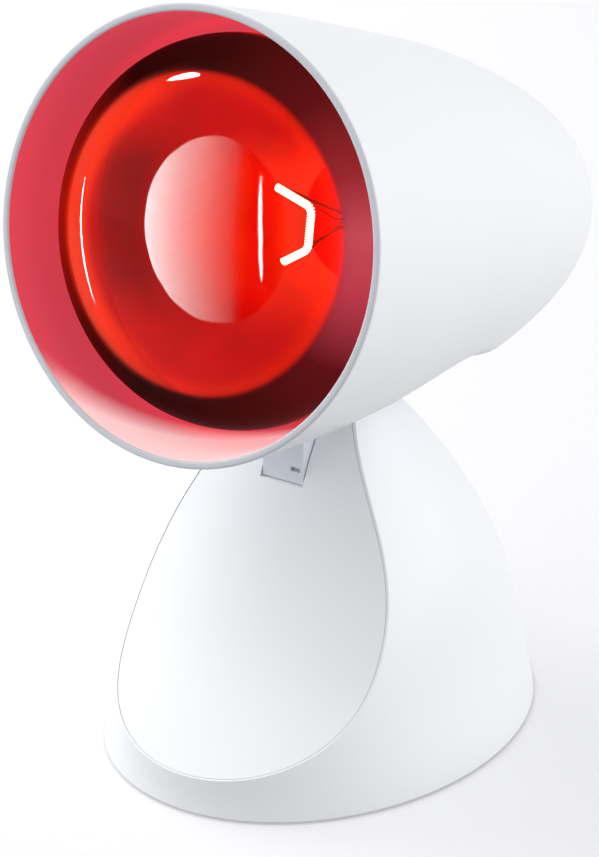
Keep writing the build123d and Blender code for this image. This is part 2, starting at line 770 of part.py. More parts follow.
def arm_screw_seats():
    """Planes on the arm's flange, square to it, one for each screw into the head."""
    seats = []
    for turn in arm_screw_turns:
        outward = Vector(0, -sin(radians(turn)), cos(radians(turn)))
        for x in (-arm_screw_x, arm_screw_x):
            spot = Vector(x, pivot_y, pivot_z) + outward * flange_high
            seats.append(Plane(origin=spot, x_dir=(1, 0, 0), z_dir=outward))
    return seats


with BuildPart() as tilt_arm:
    with BuildSketch(Plane.YZ) as arm_side:
        with BuildLine():
            foot_of_face = notch_floor + arm_stop_gap
            Polyline(
                (arm_front_y, arm_top),
                (arm_front_y, foot_of_face),
                (arm_front_y + arm_sole_length, foot_of_face),
                (pivot_y - arm_boss_radius + arm_boss_blend, pivot_z),
                (pivot_y + arm_boss_radius - arm_boss_blend, pivot_z),
                (pivot_y + arm_back, pivot_z + arm_boss_radius),
                (pivot_y + arm_back, arm_top),
                close=True,
            )
        make_face()
        with Locations((pivot_y, pivot_z)):
            Circle(arm_boss_radius)
    extrude(amount=arm_width / 2, both=True)
    add(around_pivot(scoop_radius - arm_seat_gap), mode=Mode.INTERSECT)
    # root through the head's scoop, and the flange inside the head
    with BuildSketch(Plane.YZ):
        with BuildLine():
            Polyline(
                (pivot_y - arm_root_front, root_low),
                (pivot_y - arm_root_front, root_high),
                (pivot_y + arm_back, root_high),
                (pivot_y + arm_back, root_low),
                close=True,
            )
        make_face()
    extrude(amount=arm_width / 2, both=True)
    add(around_pivot(flange_high), mode=Mode.INTERSECT)
    with BuildSketch(Plane.YZ):
        with BuildLine():
            upright = 90
            start = upright - arm_flange_back
            sweep_angle = arm_flange_back + arm_flange_front
            low = CenterArc((pivot_y, pivot_z), flange_low, start, sweep_angle)
            high = CenterArc((pivot_y, pivot_z), flange_high, start, sweep_angle)
            Line(low @ 0, high @ 0)
            Line(low @ 1, high @ 1)
        make_face()
    extrude(amount=arm_flange_width / 2, both=True)
    # bore for the bolt and the ratchet notches under the boss
    with BuildSketch(Plane.YZ):
        with Locations((pivot_y, pivot_z)):
            Circle(bolt_radius + bolt_running_gap)
    extrude(amount=arm_width, both=True, mode=Mode.SUBTRACT)
    # pockets for the friction washers
    for side in (1, -1):
        with BuildSketch(Plane.YZ.offset(side * cheek_inner)):
            with Locations((pivot_y, pivot_z)):
                Circle(washer_radius + washer_pocket_gap)
        extrude(amount=-side * (washer_wall + washer_gap), mode=Mode.SUBTRACT)
    with BuildSketch(Plane.YZ):
        for step in range(tilt_steps + 1):
            angle = radians(step * tilt_step - 90)
            notch_y = pivot_y + arm_boss_radius * cos(angle)
            notch_z = pivot_z + arm_boss_radius * sin(angle)
            with Locations((notch_y, notch_z)):
                Circle(ratchet_notch)
    extrude(amount=spring_width / 2 + ratchet_side, both=True, mode=Mode.SUBTRACT)
    # release slot in the face
    with BuildSketch(Plane.XZ.offset(-arm_front_y)):
        with Locations((arm_recess_x, arm_recess_z)):
            Rectangle(arm_recess_width, arm_recess_height)
    extrude(amount=-arm_recess_depth, mode=Mode.SUBTRACT)
    for seat in arm_screw_seats():
        with BuildSketch(seat):
            Circle(small_screw_radius + screw_gap)
        extrude(amount=-3 * arm_flange_wall, mode=Mode.SUBTRACT)
save(tilt_arm, "tilt_arm")

with BuildPart() as detent_spring:
    with BuildSketch(Plane.YZ):
        with BuildLine():
            nose_top = pivot_z - arm_boss_radius - ratchet_gap
            Polyline(
                (pivot_y + spring_bar_back - spring_end_gap, bar_top + spring_wall / 2),
                (pivot_y + spring_bend, bar_top + spring_wall / 2),
                (pivot_y + spring_nose_length, nose_top - spring_nose_height),
                (pivot_y, nose_top - spring_wall / 2),
                (pivot_y - spring_nose_length, nose_top - spring_nose_height),
            )
        trace(line_width=spring_wall)
    extrude(amount=spring_width / 2, both=True)
    with BuildSketch(Plane.XY.offset(bar_top)):
        with Locations((0, spring_screw_y)):
            Circle(small_screw_radius + screw_gap)
    extrude(amount=2 * spring_wall, both=True, mode=Mode.SUBTRACT)
save(detent_spring, "detent_spring")

with BuildPart() as spring_screw:
    seat = Plane(origin=(0, spring_screw_y, bar_top + spring_wall), x_dir=(1, 0, 0), z_dir=(0, 0, 1))
    add(screw(seat, small_head_radius, small_head_height, small_screw_radius, spring_bar_wall))
save(spring_screw, "spring_screw")

# ==== HEAD ==============================================================================================
head_outside = head_solid(0)
front_part = head_slice(-rim_rounding, cap_seam, 2 * rim_radius)

holder_seat = bulb_neck_end + screw_cap_length + cap_insulator_length + cap_button_length + holder_play
holder_back = holder_seat + holder_floor
bracket_back = holder_back + bracket_wall
bracket_radius = hollow_radius(bracket_back) - bracket_gap
bracket_boss_radius = bracket_radius - bracket_screw_edge

with BuildPart() as bracket_bosses:
    for angle in bracket_angles:
        spot = (bracket_boss_radius * cos(radians(angle)), bracket_boss_radius * sin(radians(angle)))
        with BuildSketch(head_cross(holder_back)):
            with Locations(spot):
                Circle(boss_radius)
            with Locations(Location(spot, angle)):
                Rectangle(bracket_web_reach, bracket_web_wall, align=(Align.MIN, Align.CENTER))
    extrude(amount=bracket_boss_length)
    add(head_solid(0.5 * head_wall), mode=Mode.INTERSECT)

with BuildPart() as head_shell:
    add(scooped_head(0))
    add(scooped_head(head_wall), mode=Mode.SUBTRACT)
    add(front_part, mode=Mode.INTERSECT)
    add(bracket_bosses.part)
    # opening in the scoop for the root of the arm
    with BuildSketch(Plane.YZ):
        with Locations((pivot_y - arm_root_front - arm_seat_gap, root_low)):
            root_length = arm_root_front + arm_back + 2 * arm_seat_gap
            Rectangle(root_length, 2 * root_overlap, align=(Align.MIN, Align.MIN))
    extrude(amount=arm_width / 2 + arm_seat_gap, both=True, mode=Mode.SUBTRACT)
    for seat in arm_screw_seats():
        with BuildSketch(seat):
            Circle(small_screw_radius + screw_gap)
        extrude(amount=-3 * head_wall, mode=Mode.SUBTRACT)
    for angle in bracket_angles:
        with BuildSketch(head_cross(holder_back)):
            with PolarLocations(bracket_boss_radius, 1, start_angle=angle):
                Circle(screw_radius + screw_gap)
        extrude(amount=screw_length, mode=Mode.SUBTRACT)
    rim_edges = head_shell.edges().filter_by(GeomType.CIRCLE).sort_by(head_axis)[:2]
    fillet(rim_edges, rim_rounding)
save(head_shell, "head_shell")

with BuildPart() as arm_screws:
    for seat in arm_screw_seats():
        length = arm_flange_wall + head_wall - arm_screw_cover
        add(screw(seat, small_head_radius, small_head_height, small_screw_radius, length))
save(arm_screws, "arm_screws")

# ---- Rear vent cap -------------------------------------------------------------------------------------
lip_inset = head_wall + cap_lip_gap
with BuildPart() as cap_lip:
    add(head_solid(lip_inset))
    add(head_solid(lip_inset + cap_lip_wall), mode=Mode.SUBTRACT)
    lip_end = cap_seam + cap_gap + cap_lip_overlap
    add(head_slice(cap_seam - cap_lip_length, lip_end, rim_radius), mode=Mode.INTERSECT)

with BuildPart() as cap_root:
    add(head_solid(0.5 * head_wall))
    add(head_solid(lip_inset + cap_lip_wall), mode=Mode.SUBTRACT)
    cap_front = cap_seam + cap_gap
    add(head_slice(cap_front, cap_front + cap_root_length, rim_radius), mode=Mode.INTERSECT)

with BuildPart() as rear_vent_cap:
    add(head_outside)
    add(head_solid(head_wall), mode=Mode.SUBTRACT)
    add(head_slice(cap_front, far + head_length, rim_radius), mode=Mode.INTERSECT)
    add(cap_root.part)
    add(cap_lip.part)
    with BuildSketch(head_cross(head_length + head_wall)):
        for row in range(vent_slots):
            rise = (row - (vent_slots - 1) / 2) * vent_slot_pitch
            half_length = sqrt(vent_field_radius ** 2 - rise ** 2)
            with Locations((0, rise)):
                SlotOverall(2 * half_length, vent_slot_width)
    extrude(amount=head_length - cap_seam, mode=Mode.SUBTRACT)
save(rear_vent_cap, "rear_vent_cap")

# ---- Bulb ----------------------------------------------------------------------------------------------
cap_start = bulb_neck_end - screw_cap_lap
cap_end = bulb_neck_end + screw_cap_length
with BuildPart() as bulb_glass:
    add(bulb_solid(0))
    add(bulb_solid(glass_wall), mode=Mode.SUBTRACT)
    add(head_slice(0, cap_start, 2 * bulb_radius), mode=Mode.INTERSECT)
save(bulb_glass, "bulb_glass")

with BuildPart() as bulb_mirror:
    add(bulb_solid(glass_wall + mirror_gap))
    add(bulb_solid(glass_wall + mirror_gap + mirror_wall), mode=Mode.SUBTRACT)
    add(head_slice(mirror_front, mirror_back, bulb_radius), mode=Mode.INTERSECT)
save(bulb_mirror, "bulb_mirror")

with BuildPart() as bulb_screw_cap:
    with BuildSketch(head_side):
        with BuildLine():
            Polyline(
                (cap_start, screw_cap_radius),
                (cap_end - cap_shoulder, screw_cap_radius),
                (cap_end, cap_end_radius),
                (cap_end, cap_end_radius - screw_cap_wall),
                (cap_end - cap_shoulder, screw_cap_radius - screw_cap_wall),
                (cap_start, screw_cap_radius - screw_cap_wall),
                close=True,
            )
        make_face()
    revolve(axis=head_axis)
save(bulb_screw_cap, "bulb_screw_cap")

with BuildPart() as bulb_insulator:
    with BuildSketch(head_side):
        with BuildLine():
            Polyline(
                (cap_end, 0),
                (cap_end, cap_end_radius),
                (cap_end + cap_insulator_length, cap_button_radius + screw_cap_wall),
                (cap_end + cap_insulator_length, 0),
                close=True,
            )
        make_face()
    revolve(axis=head_axis)
save(bulb_insulator, "bulb_insulator")

button_start = cap_end + cap_insulator_length
with BuildPart() as bulb_contact:
    add(head_slice(button_start, button_start + cap_button_length, cap_button_radius))
    fillet(bulb_contact.edges().sort_by(head_axis)[-1], cap_button_rounding)
save(bulb_contact, "bulb_contact")

stem_front = bulb_neck_end - stem_length
stem_flare = stem_front + stem_tip_length
with BuildPart() as bulb_stem:
    with BuildSketch(head_side):
        with BuildLine():
            Polyline(
                (stem_front, 0),
                (stem_front, 0.5 * stem_radius),
                (stem_flare, 0.6 * stem_radius),
                (stem_flare + stem_flare_length, stem_radius),
                (cap_start, screw_cap_radius - screw_cap_wall - stem_gap),
                (cap_start, 0),
                close=True,
            )
        make_face()
    revolve(axis=head_axis)
save(bulb_stem, "bulb_stem")


def head_point(along, across, rise):
    """A point in the head: distance behind the rim plane, across in X, and up square to the axis."""
    return mouth_centre + head_back * along + Vector(across, 0, 0) + head_side.y_dir * rise


def wire(points, radius):
    """A round wire along straight runs."""
    with BuildPart() as strand:
        with BuildLine() as route:
            Polyline(*points)
        with BuildSketch(Plane(origin=points[0], z_dir=points[1] - points[0])):
            Circle(radius)
        sweep(path=route.line, transition=Transition.ROUND)
    return strand.part


end_high, bend_high, bend_low, end_low = [head_point(filament_depth, x, up) for x, up in filament_hang]
touch = head_back * (filament_radius + lead_radius)   # the wires end behind the coil
with BuildPart() as filament_leads:
    for hung, up in ((end_high, lead_spacing), (end_low, -lead_spacing)):
        stem_spot = head_point(stem_front, 0, up)
        add(wire([stem_spot, stem_spot - head_back * lead_straight, hung + touch], lead_radius))
save(filament_leads, "filament_leads")

with BuildPart() as filament_supports:
    for hung, across in ((bend_high, -0.5 * lead_spacing), (bend_low, 0.5 * lead_spacing)):
        stem_spot = head_point(stem_front, across, 0)
        add(wire([stem_spot, stem_spot - head_back * lead_straight, hung + touch], support_radius))
save(filament_supports, "filament_supports")

with BuildPart() as filament:
    with BuildLine() as coil_line:
        FilletPolyline(end_high, bend_high, bend_low, end_low, radius=filament_bend)
    with BuildSketch(Plane(origin=end_high, z_dir=bend_high - end_high)):
        Circle(filament_radius)
    sweep(path=coil_line.line)
save(filament, "filament")

# ---- Lampholder ----------------------------------------------------------------------------------------
sleeve_inner = screw_cap_radius + sleeve_gap
sleeve_outer = sleeve_inner + holder_sleeve_wall
with BuildPart() as lampholder_body:
    with BuildSketch(head_side):
        with BuildLine():
            Polyline(
                (holder_front, sleeve_outer + sleeve_seat_gap),
                (holder_front, holder_radius),
                (holder_front + holder_chamfer_start, holder_radius),
                (holder_front + holder_chamfer_start + holder_chamfer_length, holder_radius - holder_chamfer),
                (holder_back, holder_radius - holder_back_taper),
                (holder_back, 0),
                (holder_seat, 0),
                (holder_seat, sleeve_outer + sleeve_seat_gap),
                close=True,
            )
        make_face()
    revolve(axis=head_axis)
    with BuildSketch(head_cross(holder_back)):
        with Locations((-holder_screw_x, 0), (holder_screw_x, 0)):
            Circle(small_screw_radius + screw_gap)
    extrude(amount=holder_floor - holder_screw_cover, mode=Mode.SUBTRACT)
save(lampholder_body, "lampholder_body")

with BuildPart() as lampholder_sleeve:
    with BuildSketch(head_cross(holder_seat)):
        Circle(sleeve_outer)
        Circle(sleeve_inner, mode=Mode.SUBTRACT)
    extrude(amount=sleeve_length)
save(lampholder_sleeve, "lampholder_sleeve")

with BuildPart() as lampholder_contact:
    add(head_slice(holder_seat - contact_wall, holder_seat, contact_radius))
save(lampholder_contact, "lampholder_contact")

with BuildPart() as lampholder_bracket:
    with BuildSketch(head_cross(bracket_back)):
        Circle(bracket_radius)
        with PolarLocations(bracket_vent_place * bracket_radius, 3, start_angle=90):
            SlotOverall(bracket_vent_length, bracket_vent_width, rotation=90, mode=Mode.SUBTRACT)
        for angle in bracket_angles:
            with PolarLocations(bracket_boss_radius, 1, start_angle=angle):
                Circle(screw_radius + screw_hole_gap, mode=Mode.SUBTRACT)
        with Locations((-holder_screw_x, 0), (holder_screw_x, 0)):
            Circle(small_screw_radius + screw_hole_gap, mode=Mode.SUBTRACT)
    extrude(amount=bracket_wall)
save(lampholder_bracket, "lampholder_bracket")


def bracket_seat(across, rise):
    """Plane on the back of the bracket, facing away from the mouth."""
    return Plane(origin=head_point(bracket_back, across, rise), x_dir=(1, 0, 0), z_dir=head_back)


with BuildPart() as bracket_screws:
    for angle in bracket_angles:
        spot = (bracket_boss_radius * cos(radians(angle)), bracket_boss_radius * sin(radians(angle)))
        add(screw(bracket_seat(*spot), screw_head_radius, bracket_screw_head, screw_radius, screw_length))
save(bracket_screws, "bracket_screws")

with BuildPart() as holder_screws:
    for across in (-holder_screw_x, holder_screw_x):
        seat = bracket_seat(across, 0)
        length = bracket_wall + holder_floor - holder_screw_cover - screw_tip_gap
        add(screw(seat, small_head_radius, small_head_height, small_screw_radius, length))
save(holder_screws, "holder_screws")
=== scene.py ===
import math

import bpy
from mathutils import Matrix, Vector


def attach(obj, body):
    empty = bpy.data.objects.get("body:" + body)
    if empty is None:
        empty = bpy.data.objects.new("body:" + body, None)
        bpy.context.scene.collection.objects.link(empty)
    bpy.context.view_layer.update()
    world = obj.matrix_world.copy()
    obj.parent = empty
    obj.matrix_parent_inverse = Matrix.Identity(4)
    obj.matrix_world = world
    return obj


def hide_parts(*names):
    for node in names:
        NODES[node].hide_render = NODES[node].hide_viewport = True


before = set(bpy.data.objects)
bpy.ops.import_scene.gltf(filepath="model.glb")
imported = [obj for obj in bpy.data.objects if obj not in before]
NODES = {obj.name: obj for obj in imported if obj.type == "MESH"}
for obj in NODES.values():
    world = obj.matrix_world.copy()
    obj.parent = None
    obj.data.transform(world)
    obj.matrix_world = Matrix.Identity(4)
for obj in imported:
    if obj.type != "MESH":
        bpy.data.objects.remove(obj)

bl_info = {
    "name": "Infrared Heat Lamp",
    "version": (1, 0, 0),
    "blender": (4, 5, 0),
    "location": "3D View > Sidebar > Heat Lamp",
    "description": "Finishes a table-top infrared lamp: moulded shells, ruby reflector bulb, metalwork and studio",
    "category": "Object",
}

MM = 0.001

# ---- Frame of the head, in metres: +Z up, -Y the way the lamp faces ----------------------------------------
HEAD_PITCH = math.radians(12.0)
# middle of the rim plane, the way along the axis from the mouth, and the way square to it in the middle plane
MOUTH = Vector((0.0, -58.6, 149.3)) * MM
BACK = Vector((0.0, math.cos(HEAD_PITCH), -math.sin(HEAD_PITCH)))
UP = Vector((0.0, math.sin(HEAD_PITCH), math.cos(HEAD_PITCH)))
# the tilt axis, and the hollow that is swept round it
PIVOT = Vector((0.0, 8.0, 54.0)) * MM
SCOOP_RADIUS = 50.0 * MM
HEAD_LENGTH = 166.2 * MM
RIM_RADIUS = 54.3 * MM
HEAD_WALL = 1.9 * MM
# outline of the shade: share of its length, share of the rim's radius
HEAD_FORM = ((0.0, 1.0), (0.18, 0.963), (0.36, 0.900), (0.54, 0.832), (0.71, 0.722), (0.855, 0.580),
             (0.945, 0.425), (1.0, 0.0))

# ---- Finish of the white mouldings, and the shade's painted shade and light ----------------------------------
GRAIN_DEPTH = 0.01 * MM
GLOSS_SPREAD = 0.03
# the cut front edge's painted grey shade fades out between these depths behind the rim plane, and the inside's
# painted pink light from the bulb starts in between
PAINTED_LIP_SHADE_FADE = (0.25 * MM, 0.9 * MM)
PAINTED_LIGHT_FROM = 0.5 * MM
# strength of the painted glow that the inside gives out in place of the bulb's light on it
PAINTED_LIGHT_GLOW = 0.72
# painted light low inside the shade, standing in for white light from the table: how deep it reaches in the
# middle plane, how much deeper for each step towards +X, how softly it ends there, and where below the axis it
# starts and is full
PAINTED_TABLE_LIGHT_REACH = 27 * MM
PAINTED_TABLE_LIGHT_SLOPE = 0.75
PAINTED_TABLE_LIGHT_FADE = (-5 * MM, 7 * MM)
PAINTED_TABLE_LIGHT_RISE = (-33 * MM, -42 * MM)

# ---- Bulb, in millimetres ------------------------------------------------------------------------------------
# lean of the face's normal from the axis, in degrees, by the distance from the axis
FACE_LEAN = ((0, 0), (10, 2.5), (20, 5), (30, 8.5), (35, 12.5), (38, 19), (40, 26), (42, 37), (44, 53), (46, 69),
             (47.5, 90), (50, 90))
# between these depths behind the rim, the face's normal gives way to the mesh's own
FACE_FADE = (10, 6)
# the painted glow ring, standing in for the filament's light caught in the glass's edge, is a little oval, with
# its middle off the axis, (across, rise); its glow by the distance from there
PAINTED_GLOW_RING_STRETCH = (1.035, 1.07)
PAINTED_GLOW_RING_SHIFT = (-1.2, -0.8)
PAINTED_GLOW_RING_BROAD = ((26, 0), (31, 0.05), (34, 0.55), (37, 1.0), (39.5, 0.85), (41.5, 0.25), (43, 0), (46, 0))
PAINTED_GLOW_RING_THIN = ((26, 0), (35, 0), (37.5, 0.1), (39.2, 0.24), (40.6, 0.1), (41.6, 0), (46, 0))
# across from the axis, the ring turns from thin to broad over this stretch
PAINTED_GLOW_RING_TURN = (-4, -30)
# the shoulder outside it, with its painted shade and painted reflection, by the same distance
SHOULDER = ((38, 0), (40, 0.15), (42, 0.9), (44, 1.0), (50, 1.0))
# painted colours round the axis, as shares of a turn from -X by way of the underside: painted shade, near black,
# above and below, red at -X, and a painted reflection of the shade's pink inside at +X
SHOULDER_PAINTED_SHADE_AND_REFLECTION = (
    (0.0, "#a01008"), (0.12, "#4a0805"), (0.2, "#240404"), (0.27, "#340606"), (0.34, "#440a0a"),
    (0.41, "#5c1216"), (0.485, "#bc3c4c"), (0.53, "#c44a58"), (0.58, "#98282e"), (0.65, "#5e1214"),
    (0.75, "#340a08"), (0.85, "#260404"), (0.93, "#7a0f0a"), (1.0, "#a01008"))
# along the axis: the bare wall ahead of the silvering, and the neck, where a deep red painted glow stands in for
# the bulb's light
BARE_WALL = ((12, 0), (18, 0), (22, 0.9), (28, 0.9), (32, 0.3), (40, 0), (74, 0), (80, 1.0), (110, 1.0))
# the mirror's painted glow colours from behind the ring to the neck, standing in for its reflections of the
# filament's light, with a painted dark band of shade; and how far from the axis that dark band ends
MIRROR_DEPTH = (26, 78)
MIRROR_PAINTED_GLOW = ((0.0, "#903c38"), (0.08, "#482c2c"), (0.22, "#583634"), (0.36, "#c04a44"), (0.5, "#dc6a58"),
                 (0.8, "#f08a50"), (1.0, "#f89868"))
PAINTED_BAND_DROP = 5
PAINTED_BAND_END = (14, 26)

# ---- Filament, in millimetres: depth behind the rim, (across, rise) of its ends and corners, their radius --------
FILAMENT_DEPTH = 46.0
FILAMENT_HANG = ((-6.0, 8.6), (4.8, 5.4), (5.2, -5.0), (-1.6, -9.4))
FILAMENT_BEND = 2.2
POINTS_PER_TURN = 14.0

# ---- Rocker: a point of its pin, the way its face rises, and the marks printed to each side of the pin's middle --
# (the bar's sizes are in millimetres)
ROCKER_PIN = Vector((0.0, 57.253, 32.8154)) * MM
ROCKER_UP = Vector((0.0, -0.348424, 0.937337))
MARK_OFFSET = 5 * MM
ON_BAR_HALF_WIDTH, ON_BAR_HALF_HEIGHT = 0.28, 1.7
OFF_RING_RADIUS, OFF_RING_HALF_WIDTH = 1.45 * MM, 0.26 * MM

# ---- Studio, in metres -------------------------------------------------------------------------------------
CAMERA_TARGET = Vector((-0.00741, 0, 0.078917))
SOFTBOX_TARGET = Vector((0, 0, 0.1))
CARD_TARGET = Vector((0.003, -0.057, 0.151))
CARD_SIDES = 64
TABLE_HALF = 6.0
TABLE_GLOW = 0.33
# soft lights: name, place, size, power, and whether they light the table too
SOFTBOXES = (
    ("left_softbox", (-1.25, -0.35, 0.5), (1.4, 1.1), 10.6, False),
    ("high_left_softbox", (-1.1, 0.1, 0.9), (1.4, 1.1), 7.4, True),
    ("front_softbox", (-0.6, -0.9, 1.0), (0.9, 0.8), 2.4, True),
    ("low_front_softbox", (-0.1, -1.3, 0.3), (0.9, 0.8), 1.7, False),
    ("right_softbox", (1.3, 0.1, 0.5), (1.4, 1.1), 4.8, False),
    ("far_right_softbox", (1.1, 0.6, 0.4), (1.4, 1.1), 9.4, False),
)
EVEN_CARD = ((-1.0, 1.0), (1.0, 1.0))
SOFT_ENDS = ((-1.0, 0.3), (-0.7, 1.0), (0.7, 1.0), (1.0, 0.3))
FADING_CARD = ((-1.0, 1.0), (-0.6, 0.62), (-0.25, 0.34), (0.0, 0.16), (0.16, 0.07), (0.27, 0.0), (1.0, 0.0))
# glowing oval cards that only the bulb's glass mirrors: name, middle, long direction, half sizes, strength, and
# how it fades from one end to the other
CARDS = (
    ("round_card", (-0.2448, -0.4961, 0.1759), (0.790, -0.597, 0.139), (0.1225, 0.1215), 100.0, FADING_CARD),
    ("small_card", (-0.3457, -0.3309, 0.418), (0.0295, -0.0048, 0.0309), (0.043, 0.0235), 440.0, EVEN_CARD),
    ("bar_card", (-0.181, -0.5105, 0.193), (0.0214, -0.0225, -0.1373), (0.070, 0.0035), 260.0, SOFT_ENDS),
    ("edge_card", (-0.441, -0.330, 0.089), (0.0455, -0.0337, -0.1649), (0.085, 0.003), 150.0, SOFT_ENDS),
)


def linear(code):
    """An sRGB hex colour as linear red, green, blue."""
    channels = [int(code[i:i + 2], 16) / 255 for i in (1, 3, 5)]
    return tuple(c / 12.92 if c <= 0.04045 else ((c + 0.055) / 1.055) ** 2.4 for c in channels)


def head_point(along, across, rise):
    """A point in the head from millimetres behind the rim plane, across in X, and up square to the axis."""
    return MOUTH + (BACK * along + Vector((across, 0, 0)) + UP * rise) * MM


# ---- Sizes and colours that a user would change -------------------------------------------------------------
class HeatLampHousing(bpy.types.PropertyGroup):
    """Colours and surface of the white mouldings"""
    shell: bpy.props.FloatVectorProperty(
        name="Shell", description="Colour of the white mouldings", subtype="COLOR", min=0, max=1,
        default=linear("#eff1f4"))
    # painted shade: the cut front edge is drawn greyer than the shell, standing in for the shade it lies in
    lip: bpy.props.FloatVectorProperty(
        name="Lip", description="Colour of the shade's cut front edge", subtype="COLOR", min=0, max=1,
        default=linear("#d2d6dc"))
    # painted light: the inside is coloured, and made to glow, as if lit by the bulb
    lit: bpy.props.FloatVectorProperty(
        name="Lit inside", description="Colour of the shade's inside in the bulb's light", subtype="COLOR",
        min=0, max=1, default=linear("#cb4252"))
    roughness: bpy.props.FloatProperty(
        name="Roughness", description="Roughness of the white mouldings", subtype="FACTOR", min=0, max=1,
        default=0.34)
    grain: bpy.props.FloatProperty(
        name="Grain", description="Width of the mould's grain", subtype="DISTANCE", unit="LENGTH", min=0.0001,
        default=0.5 * MM)


class HeatLampBulb(bpy.types.PropertyGroup):
    """Colours of the bulb's glass, and sizes of its filament"""
    ruby: bpy.props.FloatVectorProperty(
        name="Ruby", description="Tint of the ruby glass", subtype="COLOR", min=0, max=1,
        default=linear("#f65c50"))
    # painted glow: colour of the ring where the filament's light is caught in the glass
    glow: bpy.props.FloatVectorProperty(
        name="Glow", description="Colour of the hot ring in the glass", subtype="COLOR", min=0, max=1,
        default=linear("#d42c00"))
    coil_radius: bpy.props.FloatProperty(
        name="Coil radius", description="Radius of the filament's coil", subtype="DISTANCE", unit="LENGTH",
        min=0.0001, default=0.78 * MM)
    coil_pitch: bpy.props.FloatProperty(
        name="Coil pitch", description="Distance from turn to turn", subtype="DISTANCE", unit="LENGTH",
        min=0.0001, default=0.62 * MM)
    wire_radius: bpy.props.FloatProperty(
        name="Wire radius", description="Radius of the filament's wire", subtype="DISTANCE", unit="LENGTH",
        min=0.00001, default=0.2 * MM)
    heat: bpy.props.FloatProperty(
        name="Heat", description="Strength of the filament's glow", min=0, max=200, default=30.0)


class HeatLampStage(bpy.types.PropertyGroup):
    """Camera and light"""
    azimuth: bpy.props.FloatProperty(
        name="Azimuth", description="Camera round from the front", subtype="ANGLE", unit="ROTATION",
        default=math.radians(34.744))
    elevation: bpy.props.FloatProperty(
        name="Elevation", description="Camera above level", subtype="ANGLE", unit="ROTATION",
        default=math.radians(23.155))
    distance: bpy.props.FloatProperty(
        name="Distance", description="Camera to its target", subtype="DISTANCE", unit="LENGTH",
        default=0.721658)
    lens: bpy.props.FloatProperty(
        name="Lens", description="Focal length on a 36 mm high frame", subtype="DISTANCE_CAMERA",
        default=116.73)
    level: bpy.props.FloatProperty(
        name="Lamp level", description="Share of the softboxes' power", subtype="FACTOR", min=0, max=4,
        default=1.0)
    sky: bpy.props.FloatProperty(
        name="Room light", description="Strength of the even light of the room", min=0, default=0.51)


# ---- Small tools ---------------------------------------------------------------------------------------------
def add_node(tree, kind, settings=None, links=None):
    """Adds a node, sets its attributes and input values by name or number, and links its inputs."""
    node = tree.nodes.new(kind)
    for key, value in (settings or {}).items():
        if isinstance(key, int) or key in node.inputs:
            node.inputs[key].default_value = value
        else:
            setattr(node, key, value)
    for key, source in (links or {}).items():
        tree.links.new(source, node.inputs[key])
    return node


def new_material(name):
    """An empty node material and its output node."""
    material = bpy.data.materials.new(name)
    material.use_nodes = True
    material.node_tree.nodes.clear()
    output = add_node(material.node_tree, "ShaderNodeOutputMaterial")
    return material, material.node_tree, output


def dress(names, material):
    """Gives CAD nodes a material and smooth shading."""
    for name in names:
        mesh = NODES[name].data
        mesh.materials.clear()
        mesh.materials.append(material)
        mesh.shade_smooth()


def link_piece(name, mesh, material, body):
    """Puts a finished mesh in the scene as a piece that rides on a body."""
    mesh.materials.clear()
    mesh.materials.append(material)
    piece = bpy.data.objects.new(name, mesh)
    bpy.context.scene.collection.objects.link(piece)
    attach(piece, body)
    return piece


def profile(tree, value, points, unit=1.0):
    """The level that (place, level) points draw over a value, their places being in the given unit."""
    low, high = points[0][0] * unit, points[-1][0] * unit
    span = add_node(tree, "ShaderNodeMapRange", {"From Min": low, "From Max": high}, {"Value": value})
    node = add_node(tree, "ShaderNodeFloatCurve", {}, {"Value": span.outputs["Result"]})
    curve = node.mapping.curves[0]
    places = [((place * unit - low) / (high - low), level) for place, level in points]
    curve.points[0].location = places[0]
    curve.points[1].location = places[-1]
    for place in places[1:-1]:
        curve.points.new(*place)
    node.mapping.update()
    return node.outputs["Value"]


def shades(tree, value, low, high, stops):
    """The colour that (share, code) stops give a value on its way from low to high."""
    span = add_node(tree, "ShaderNodeMapRange", {"From Min": low, "From Max": high}, {"Value": value})
    node = add_node(tree, "ShaderNodeValToRGB", {}, {"Fac": span.outputs["Result"]})
    ramp = node.color_ramp
    ramp.elements[0].position = stops[0][0]
    ramp.elements[0].color = (*linear(stops[0][1]), 1)
    ramp.elements[1].position = stops[-1][0]
    ramp.elements[1].color = (*linear(stops[-1][1]), 1)
    for position, code in stops[1:-1]:
        ramp.elements.new(position).color = (*linear(code), 1)
    return node.outputs["Color"]


def head_coordinates(tree):
    """Sockets for a place in the head: along its axis, across, up, and out from the axis, in metres."""
    place = add_node(tree, "ShaderNodeTexCoord")
    from_mouth = add_node(tree, "ShaderNodeVectorMath", {"operation": "SUBTRACT", 1: MOUTH},
                          {0: place.outputs["Object"]})
    along = add_node(tree, "ShaderNodeVectorMath", {"operation": "DOT_PRODUCT", 1: BACK},
                     {0: from_mouth.outputs["Vector"]})
    rise = add_node(tree, "ShaderNodeVectorMath", {"operation": "DOT_PRODUCT", 1: UP},
                    {0: from_mouth.outputs["Vector"]})
    across = add_node(tree, "ShaderNodeSeparateXYZ", {}, {0: from_mouth.outputs["Vector"]})
    flat = add_node(tree, "ShaderNodeCombineXYZ", {}, {"X": across.outputs["X"], "Y": rise.outputs["Value"]})
    out = add_node(tree, "ShaderNodeVectorMath", {"operation": "LENGTH"}, {0: flat.outputs["Vector"]})
    return (place.outputs["Object"], along.outputs["Value"], across.outputs["X"], rise.outputs["Value"],
            out.outputs["Value"])


